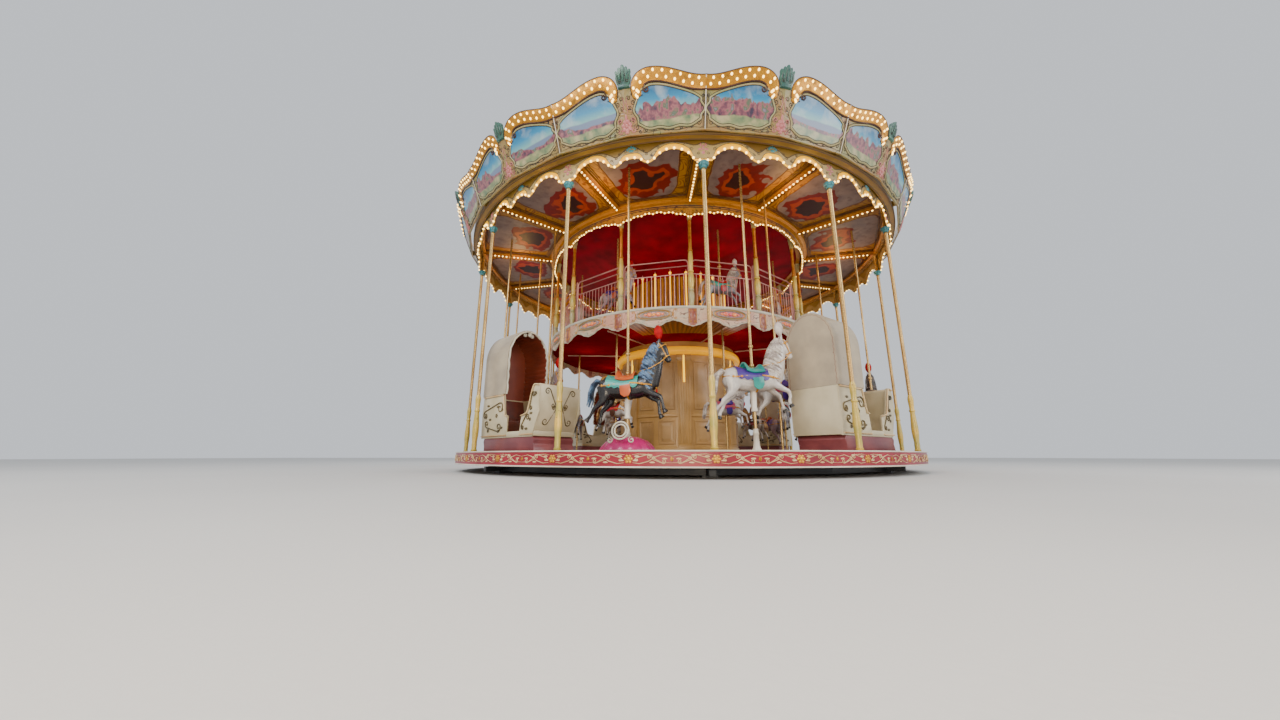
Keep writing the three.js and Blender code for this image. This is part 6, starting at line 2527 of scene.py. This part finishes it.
@dataclass
class Carving:
    """One carved horse in its tack, made once for each gait and then copied."""

    gait: Gait
    voxel: float = 0.014
    ratio: float = 0.3
    lift: float = 0.012
    trunk: tuple[Oval, ...] = (
        (-0.455, 0.05, 0.03, 0.05), (-0.43, 0.045, 0.1, 0.125), (-0.33, 0.035, 0.148, 0.17),
        (-0.2, 0.01, 0.156, 0.165), (-0.02, -0.005, 0.155, 0.158), (0.14, 0.005, 0.15, 0.165),
        (0.25, 0.035, 0.135, 0.165), (0.335, 0.1, 0.115, 0.168), (0.368, 0.22, 0.098, 0.158),
        (0.392, 0.34, 0.09, 0.152), (0.422, 0.45, 0.081, 0.138), (0.456, 0.55, 0.07, 0.114),
        (0.488, 0.625, 0.056, 0.082))
    head: tuple[Oval, ...] = (
        (0.46, 0.655, 0.036, 0.045), (0.515, 0.615, 0.056, 0.07), (0.55, 0.56, 0.055, 0.078),
        (0.58, 0.5, 0.045, 0.06), (0.605, 0.445, 0.038, 0.05), (0.63, 0.395, 0.038, 0.05),
        (0.64, 0.365, 0.026, 0.034))
    ear: tuple[Oval, ...] = ((0.485, 0.65, 0.018, 0.02), (0.49, 0.69, 0.018, 0.022),
                             (0.498, 0.73, 0.012, 0.014), (0.504, 0.755, 0.005, 0.005))
    plume: tuple[Oval, ...] = (
        (0.495, 0.67, 0.007, 0.007), (0.49, 0.72, 0.007, 0.007), (0.488, 0.745, 0.034, 0.036),
        (0.483, 0.79, 0.056, 0.06), (0.478, 0.85, 0.062, 0.068), (0.473, 0.905, 0.048, 0.054),
        (0.47, 0.945, 0.018, 0.02))

    def limb(self, ovals: Sequence[Oval], across: float = 0.0, sides: int = 10) -> Shape:
        """A skin through ovals of x, z, half width and half depth."""
        return Shape.loft([(x, across, z, wide, deep) for x, z, wide, deep in ovals], sides)

    def legs(self) -> list[tuple[list[Oval], float]]:
        """Ovals of the four legs down to the fetlock and then the hoof, and their places across.

        Returns:
            Pairs of ovals and place across.
        """
        swing = self.gait.value
        straight = [(0.26, 0.02, 0.05, 0.09), (0.3, -0.09, 0.048, 0.068), (0.375, -0.15, 0.037, 0.046),
                    (0.452, -0.195, 0.033, 0.036), (0.46 + swing / 2, -0.27, 0.024, 0.026),
                    (0.464 + swing, -0.345, 0.022, 0.024), (0.468 + swing, -0.38, 0.027, 0.031),
                    (0.482 + swing, -0.405, 0.026, 0.03)]
        bent = [(0.27, 0.03, 0.05, 0.09), (0.33, -0.06, 0.048, 0.066), (0.42, -0.11, 0.038, 0.046),
                (0.52, -0.15, 0.033, 0.036), (0.542, -0.22, 0.024, 0.026),
                (0.556 - swing, -0.29, 0.022, 0.024), (0.562 - swing, -0.32, 0.027, 0.031),
                (0.574 - swing, -0.342, 0.026, 0.03)]
        low = [(-0.33, 0.03, 0.07, 0.13), (-0.3, -0.1, 0.065, 0.1), (-0.31, -0.2, 0.046, 0.066),
               (-0.38, -0.28, 0.032, 0.042), (-0.435, -0.33, 0.031, 0.038), (-0.45, -0.4, 0.025, 0.027),
               (-0.46 - swing, -0.47, 0.024, 0.026), (-0.468 - swing, -0.5, 0.028, 0.031),
               (-0.472 - swing, -0.52, 0.027, 0.03)]
        high = [(-0.34, 0.03, 0.07, 0.13), (-0.34, -0.1, 0.063, 0.096), (-0.37, -0.19, 0.046, 0.062),
                (-0.44, -0.255, 0.032, 0.04), (-0.498, -0.3, 0.031, 0.036), (-0.53, -0.36, 0.025, 0.027),
                (-0.562 - swing, -0.415, 0.024, 0.026), (-0.582 - swing, -0.438, 0.028, 0.031),
                (-0.594 - swing, -0.452, 0.027, 0.03)]
        return [(straight, 0.08), (bent, -0.08), (low, 0.085), (high, -0.085)]

    def body(self) -> Shape:
        """Trunk, neck, head, ears and legs in one smooth skin.

        Returns:
            The skin.
        """
        parts = [self.limb(self.trunk, sides=14), self.limb(self.head)]
        for side in (-1, 1):
            parts += [self.limb(self.ear, 0.034 * side, 8),
                      Shape.ball(0.022, (0.545, 0.04 * side, 0.5), 8, 6, (1.2, 0.6, 1.7)),
                      Shape.ball(0.075, (0.3, 0.085 * side, 0.04), squash=(0.9, 0.75, 1.4)),
                      Shape.ball(0.1, (-0.33, 0.085 * side, 0.01), squash=(1.0, 0.72, 1.25))]
        body = Shape.joined(parts + [self.limb(ovals, across) for ovals, across in self.legs()])
        body.modified("REMESH", mode="VOXEL", voxel_size=self.voxel)
        body.modified("SMOOTH", factor=0.6, iterations=4)
        return body.modified("DECIMATE", ratio=self.ratio).smooth(60)

    def on_neck(self, share: float, turn: float, fall: float, side: int) -> Point:
        """Place on the neck: a share down from the poll, some degrees round from the crest, and fallen.

        Args:
            share: Share of the neck.
            turn: The degrees.
            fall: Length of hair gone by.
            side: -1 or 1.

        Returns:
            The place.
        """
        neck = self.trunk[:6:-1]
        step = min(share * 0.999 * (len(neck) - 1), len(neck) - 1.001)
        above, below = neck[int(step)], neck[int(step) + 1]
        x, z, wide, deep = (a + (b - a) * (step % 1) for a, b in zip(above, below))
        along = Vector((above[0] - below[0], above[1] - below[1])).normalized()
        back = deep * math.cos(math.radians(turn))
        out = (wide - 0.004) * math.sin(math.radians(turn)) + 0.006
        return x - along.y * back - along.x * fall, out * side, z + along.x * back - along.y * fall

    def hair(self) -> Shape:
        """Locks of the mane, the forelock and the tail.

        Returns:
            The hair.
        """
        locks = []
        for index in range(13):
            for side in (-1, 1):
                fall = 0.11 + 0.03 * math.sin(index * 1.7 + side)
                points = [self.on_neck(index / 12, k * 23, fall * (k / 5) ** 1.6, side) for k in range(6)]
                locks.append(Shape.tube(points, 0.034, taper=lambda s: 0.95 - 0.6 * s ** 3))
        for index in range(5):
            x, y, z = 0.47 + 0.012 * index, 0.006 * (index - 2), 0.682 - 0.004 * index
            points = [(x - 0.01, 0, z), (x + 0.03, 2 * y, z - 0.004), (x + 0.06, 3 * y, z - 0.07)]
            locks.append(Shape.tube(points, 0.017, taper=lambda s: 1 - 0.75 * s))
        for index in range(7):
            y, sway = (index - 3) * 0.014, 0.02 * math.sin(index * 2.3)
            points = [(-0.42, y * 0.4, 0.125), (-0.49, y * 0.7, 0.13 + sway), (-0.555, y, 0.06 + sway),
                      (-0.59, y * 1.5, -0.06), (-0.6 + sway, y * 1.9, -0.17),
                      (-0.625 + sway, y * 1.4, -0.25 - sway)]
            locks.append(Shape.tube(
                points, 0.03, taper=lambda s: 0.55 + 0.6 * math.sin(math.pi * min(s * 1.15, 1.0)) - 0.35 * s))
        return Shape.joined(locks)

    def hooves(self) -> Shape:
        """Dark hooves and eyes.

        Returns:
            The hooves and eyes.
        """
        parts = []
        for ovals, across in self.legs():
            (x0, z0, _, _), (x, z, _, _) = ovals[-2:]
            along = Vector((x - x0, z - z0)).normalized()
            rings = [(x + along.x * away, z + along.y * away, wide, deep) for away, wide, deep in (
                (0, 0.029, 0.033), (0.012, 0.033, 0.037), (0.04, 0.038, 0.043))]
            parts.append(self.limb(rings, across))
        parts += [Shape.ball(0.0125, (0.548, 0.05 * side, 0.592), 8, 6, (1.0, 0.6, 1.1)) for side in (-1, 1)]
        return Shape.joined(parts)

    def cover(self, columns: int, rows: int, ends: Pair, reach: Curve, lift: float, rise: Curve,
              thickness: float) -> Shape:
        """A shaped cover that lies over the barrel.

        Args:
            columns: Faces along the horse.
            rows: Faces over its back.
            ends: Its rear and front ends.
            reach: Angle down each side, in radians, at a place along.
            lift: Distance from the coat.
            rise: Extra height of the ridge at a place along.
            thickness: Thickness of the cover.

        Returns:
            The cover.
        """
        def rule(u: float, v: float) -> Point:
            """Place on the cover.

            Args:
                u: Share along it.
                v: Share up it.

            Returns:
                The place.
            """
            x = ends[0] + (ends[1] - ends[0]) * u
            turn = (2 * v - 1) * reach(x)
            behind, ahead = next(pair for pair in pairwise(self.trunk) if x <= pair[1][0])
            share = (x - behind[0]) / (ahead[0] - behind[0])
            z, wide, deep = (a + (b - a) * share for a, b in zip(behind[1:], ahead[1:]))
            ridge = rise(x) * max(0.0, math.cos(turn)) ** 3
            return x, (wide + lift) * math.sin(turn), z + (deep + lift) * math.cos(turn) + ridge

        return Shape.sheet(columns, rows, rule).outwards().thick(-thickness)

    def hoop(self, x: float, z: float, wide: float, deep: float, lean: float, radius: float) -> Shape:
        """A strap round a limb, in a plane that leans by an angle in degrees.

        Args:
            x: The middle's x.
            z: The middle's height.
            wide: Half its width.
            deep: Half its depth.
            lean: The angle.
            radius: Half its thickness.

        Returns:
            The strap.
        """
        cosine, sine = math.cos(math.radians(lean)), math.sin(math.radians(lean))
        turns = (k * math.pi / 8 for k in range(16))
        line = [(x + deep * math.sin(t) * cosine, wide * math.cos(t), z + deep * math.sin(t) * sine)
                for t in turns]
        return Shape.tube(line, radius, closed=True)

    def tack(self) -> list[Shape]:
        """Blanket, saddle, gilt straps and plume, each with its own slot.

        Returns:
            Four pieces, in the order of the slots.
        """
        blanket = self.cover(
            30, 16, (-0.3, 0.19), lambda x: 1.55 + 0.14 * abs(math.sin((x + 0.3) / 0.49 * math.pi * 5)),
            self.lift, lambda x: 0.0, 0.008)
        pad = [self.cover(18, 14, (-0.15, 0.13), lambda x: 1.0, self.lift + 0.014,
                          lambda x: 0.075 * math.exp(-((x + 0.14) / 0.035) ** 2)
                          + 0.05 * math.exp(-((x - 0.12) / 0.03) ** 2), 0.018)]
        straps = [self.hoop(0.03, -0.004, 0.163, 0.166, 90, 0.013),
                  self.hoop(0.606, 0.445, 0.045, 0.058, 25, 0.008),
                  self.hoop(0.53, 0.597, 0.064, 0.083, 30, 0.007),
                  Shape.tube([(-0.15, 0, 0.19), (-0.3, 0, 0.213), (-0.43, 0, 0.165)], 0.011)]
        for side in (-1, 1):
            flap = Shape.prism([(-0.075, 0.02), (0.085, 0.04), (0.1, -0.07), (0.07, -0.13), (0.0, -0.15),
                                (-0.06, -0.11)], 0.014, 0.004)
            pad.append(flap.moved(lambda at: (at.x, side * (0.176 + 0.06 * at.z) + at.y, at.z)))
            for radius, *line in (
                    (0.013, (0.08, 0.165, 0.06), (0.2, 0.158, 0.05), (0.32, 0.13, 0.03), (0.4, 0.07, 0.03),
                     (0.432, 0.0, 0.035)),
                    (0.012, (-0.15, 0.16, 0.05), (-0.3, 0.163, 0.03), (-0.42, 0.11, 0.04), (-0.462, 0, 0.05)),
                    (0.007, (0.606, 0.047, 0.45), (0.56, 0.06, 0.55), (0.5, 0.064, 0.655)),
                    (0.006, (0.6, 0.05, 0.43), (0.52, 0.088, 0.35), (0.38, 0.115, 0.27), (0.22, 0.08, 0.24),
                     (0.13, 0.02, 0.23))):
                straps.append(Shape.tube([(x, y * side, z) for x, y, z in line], radius))
            straps += [Shape.ball(0.02, (x, y * side, z), 8, 5, (1, 0.5, 1)) for x, y, z in (
                (0.606, 0.05, 0.445), (0.535, 0.066, 0.6), (0.26, 0.152, 0.04), (0.38, 0.09, 0.03),
                (-0.24, 0.17, 0.035), (-0.36, 0.15, 0.035))]
        straps.append(Shape.ball(0.04, (0.44, 0, 0.01), 10, 6, (0.4, 1, 1.2)))
        feathers = [self.limb(self.plume, sides=12),
                    Shape.ball(0.028, (0.445, 0, -0.06), 8, 5, (0.5, 0.9, 1.3))]
        return [blanket, Shape.joined(pad), Shape.joined(straps), Shape.joined(feathers)]

    def carved(self) -> list[Shape]:
        """The figure and the tack, each as one piece with a slot for each finish.

        Returns:
            The figure and the tack.
        """
        made = []
        groups = [self.body(), self.hair(), self.hooves()], self.tack()
        for parts, finishes in zip(groups, Stable.INSIDE[0].groups()):
            for index, part in enumerate(parts):
                data = part.piece.data
                data.materials.clear()
                for finish in finishes:
                    data.materials.append(finish.material())
                for face in data.polygons:
                    face.material_index = index
            made.append(Shape.joined(parts))
        return made


@dataclass
class Herd:
    """All the horses: ten that slide in the outer row, and three rows at one height.

    A row at one height has its radius, the height of its horses and the height of its poles' heads.
    """

    large: float = 1.08
    small: float = 0.8
    outer_height: float = 1.37
    outer_pole: Pair = (0.56, 5.655)
    outer_saddle: float = 0.25
    tube_foot: float = 0.88
    tube_gap: float = 0.15
    middle: Point = (3.74, 1.33, 5.535)
    inner: Point = (2.64, 1.23, 2.945)
    upper: Point = (2.64, 3.85, 5.45)
    decks: Pair = (0.3805, 3.1105)
    saddle: float = 0.24
    knob_gap: float = 0.32
    stagger: float = 0.06
    around: int = 7
    first_turn: float = math.radians(16)
    throw: float = 0.12
    phase: float = 2.1
    bore: float = 0.022
    patterns: dict[Gait, list[Shape]] = field(default_factory=dict)

    def stroke(self, slot: int) -> float:
        """How far a horse stands from the middle of its travel."""
        return self.throw * math.sin(slot * self.phase)

    def copied(self, livery: Livery, place: Matrix, height: float, scale: float) -> list[Shape]:
        """A horse in its livery: its figure and its tack.

        Args:
            livery: Its colours.
            place: Its place round the axis.
            height: Its height.
            scale: Its size.

        Returns:
            The figure and the tack.
        """
        move = place @ Matrix.Translation((0, 0, height)) @ Matrix.Scale(scale, 4)
        made = []
        for pattern, finishes in zip(self.patterns[livery.gait], livery.groups()):
            copy = pattern.twin(move)
            for index, finish in enumerate(finishes):
                copy.piece.data.materials[index] = finish.material()
            made.append(copy)
        return made

    def pole(self, low: float, high: float, saddle: float, *tube: float) -> Shape:
        """A pole with a knob over the saddle and one further up, and a white tube where it has one.

        Args:
            low: Height of its foot.
            high: Height of its head.
            saddle: Height of the saddle.
            tube: Heights of the tube's foot and head.

        Returns:
            The pole.
        """
        bore = self.bore
        parts = [Shape.turned(((bore, low), (bore, high)), 12)]
        knob = ((bore, -0.03), (0.034, -0.02), (0.04, 0.0), (0.034, 0.02), (bore, 0.03))
        for height in (saddle, saddle + self.knob_gap):
            parts.append(Shape.turned([(radius, height + z) for radius, z in knob], 12))
        made = [Shape.joined(parts).dressed(Palette.BRASS)]
        if tube:
            foot, head = tube
            wide = 0.05
            profile = ((0.03, foot), (wide, foot + 0.006), (wide, foot + 0.04), (0.043, foot + 0.05),
                       (0.046, head))
            made.append(Shape.turned(profile, 12).dressed(Palette.WHITE))
        return Shape.joined(made)

    def outer(self) -> None:
        """The sliding horses, each on a body of its own."""
        for index, (slot, livery) in enumerate(zip(HORSE_SLOTS, Stable.OUTER), 1):
            name, place = f"horse_{index:02d}", placed(outer_angle(slot), OUTER_ROW)
            offset = self.stroke(slot)
            height = self.outer_height + offset
            figure, tack = self.copied(livery, place, height, self.large)
            figure.handed(f"{name}_figure", livery.coat, name, body=name)
            tack.handed(f"{name}_tack", Palette.GOLD, body=name)
            low, high = self.outer_pole
            pole = self.pole(low + offset, high + offset, height + self.outer_saddle,
                             self.tube_foot + offset, height - self.tube_gap)
            pole.put(place).handed(f"{name}_pole", Palette.BRASS, body=name)

    def row(self, name: str, angles: Sequence[float], heights: Sequence[float], first: int, radius: float,
            scale: float, span: Pair, extra: Shape) -> None:
        """A row of horses that stand at one height.

        Args:
            name: The row's name.
            angles: Angle of each horse.
            heights: Height of each horse.
            first: Number of the first one's livery.
            radius: Radius of the row.
            scale: Size of the horses.
            span: Foot and head of the poles.
            extra: The ring or the rods that join the poles.
        """
        figures, tacks, poles = [], [], [extra]
        for index, (angle, height) in enumerate(zip(angles, heights), first):
            place, livery = placed(angle, radius), Stable.INSIDE[index % len(Stable.INSIDE)]
            figure, tack = self.copied(livery, place, height, scale)
            figures.append(figure)
            tacks.append(tack)
            poles.append(self.pole(*span, height + self.saddle * scale).put(place))
        Shape.joined(figures).handed(f"{name}_figures", Stable.WHITE, f"{name}_horses")
        Shape.joined(tacks).handed(f"{name}_tack", Palette.GOLD)
        Shape.joined(poles).handed(f"{name}_poles", Palette.BRASS)

    def tie(self, radius: float, top: float) -> Shape:
        """The ring that joins the pole heads of a row.

        Args:
            radius: Radius of the row.
            top: Height of the poles' heads.

        Returns:
            The ring.
        """
        near, far, low = radius - 0.022, radius + 0.03, top - 0.04
        ring = Shape.ring(((near, low), (far, low), (far, top), (near, top)), SECTIONS * 4)
        return ring.dressed(Palette.STEEL)

    def rods(self, turns: Sequence[float]) -> Shape:
        """The radial rods over the inner row.

        Args:
            turns: Angle of each rod.

        Returns:
            The rods.
        """
        half, low, high, length, bevel, middle = 0.012, 2.915, 2.945, 1.42, 0.004, 2.25
        rod = Shape.slab(-half, half, low, high, length, bevel)
        return rod.copies([placed(turn, middle) for turn in turns]).dressed(Palette.ROD)

    def build(self) -> None:
        """Carves one horse for each gait, and sets out all the rows."""
        self.patterns = {gait: Carving(gait).carved() for gait in Gait}
        self.outer()
        lower_deck, upper_deck = self.decks
        radius, height, top = self.middle
        angles = [(slot - self.stagger) * SECTION for slot in MIDDLE_SLOTS]
        heights = [height + self.stroke(slot) for slot in MIDDLE_SLOTS]
        self.row("middle_row", angles, heights, 0, radius, 1.0, (lower_deck, top), self.tie(radius, top))
        turns = [self.first_turn + index * TURN / self.around for index in range(self.around)]
        rises = [self.stroke(index) / 2 for index in range(self.around)]
        radius, height, top = self.inner
        self.row("inner_row", turns, [height + rise for rise in rises], 0, radius, self.small,
                 (lower_deck, top), self.rods(turns))
        radius, height, top = self.upper
        self.row("upper_row", turns, [height + rise for rise in rises], 1, radius, self.small,
                 (upper_deck, top), self.tie(radius, top))
        for pattern in (shape for shapes in self.patterns.values() for shape in shapes):
            bpy.data.objects.remove(pattern.piece)


# The studio

@dataclass
class Studio:
    """The pale floor, soft lights, the lamps' own warm light, and the camera of the photograph."""

    camera_place: Point = (-1.018, -10.953, 0.31)
    camera_tilt: float = 13.04
    lens: float = 11.64
    sensor: float = 36.0
    floor_half: float = 60.0
    floor_gap: float = 0.002
    sky: str = "#e6ebf2"
    sky_strength: float = 0.95
    areas: tuple[tuple[str, Point, Point, float, float, str], ...] = (
        ("key", (-9, -16, 12), (0, 0, 4), 9, 2200, "#ffffff"),
        ("fill", (13, -12, 7), (0, 0, 3), 9, 1300, "#ffffff"),
        ("back", (2, 16, 12), (0, 0, 5), 9, 1500, "#ffffff"),
        ("low_front", (-1, -13, 1.2), (0, 0, 5), 4, 420, "#ffe9c8"))
    glows: tuple[tuple[str, float, float, float, str], ...] = (
        ("ceiling", 4.3, 5.1, 20, "#ffc470"),
        ("lower", 2.4, 2.55, 6, "#fff0e0"),
        ("upper", 2.1, 4.6, 6, "#ffd0c0"))
    around: int = 7
    bulb: float = 0.25

    def light(self, name: str, kind: str, place: Point, power: float,
              color: str) -> tuple[bpy.types.Light, Piece]:
        """Adds a light, and returns its data and its holder.

        Args:
            name: Its name.
            kind: Its type.
            place: Where it hangs.
            power: Its power.
            color: Its hex code.

        Returns:
            Its data and its holder.
        """
        data = bpy.data.lights.new(name, kind)
        data.energy = power
        data.color = linear(color)[:3]
        holder = linked(name, data)
        holder.location = place
        return data, holder

    def lights(self) -> None:
        """Daylight from a bright sky, and warm lamplight under the ceilings."""
        world = bpy.data.worlds.new("pale_studio")
        world.use_nodes = True
        inputs = world.node_tree.nodes["Background"].inputs
        inputs["Color"].default_value = linear(self.sky)
        inputs["Strength"].default_value = self.sky_strength
        bpy.context.scene.world = world
        for name, place, target, size, power, color in self.areas:
            data, holder = self.light(name, "AREA", place, power, color)
            data.size = size
            holder.rotation_euler = (Vector(target) - Vector(place)).to_track_quat("-Z", "Y").to_euler()
        for index in range(self.around):
            turn = (index + 0.5) * TURN / self.around
            for name, radius, height, power, color in self.glows:
                place = (radius * math.sin(turn), -radius * math.cos(turn), height)
                self.light(f"{name}_{index}", "POINT", place, power, color)[0].shadow_soft_size = self.bulb

    def build(self) -> None:
        """Builds the studio."""
        data = bpy.data.cameras.new("photo_view")
        data.lens = self.lens
        data.sensor_width = self.sensor
        camera = linked("photo_view", data)
        camera.location = self.camera_place
        camera.rotation_euler = (math.radians(90 + self.camera_tilt), 0, 0)
        bpy.context.scene.camera = camera
        floor = Shape.begin(bpy.ops.mesh.primitive_plane_add, size=2 * self.floor_half,
                            location=(0, 0, -self.floor_gap))
        floor.dressed(Palette.FLOOR).piece.name = "studio_floor"
        self.lights()


def main() -> None:
    """Builds the carousel from the floor up."""
    logging.basicConfig(level=logging.INFO, format="%(name)s %(message)s")
    Studio().build()
    for group in (Deck, LowerDrum, Fascia, Columns, GuardRail, UpperDrum, OuterPoles, Ceiling, OuterValance,
                  InnerValance, Rim, Boards, Crest, Roof, ShellBases, Chariots, Herd):
        group().build()


if __name__ == "__main__":
    main()
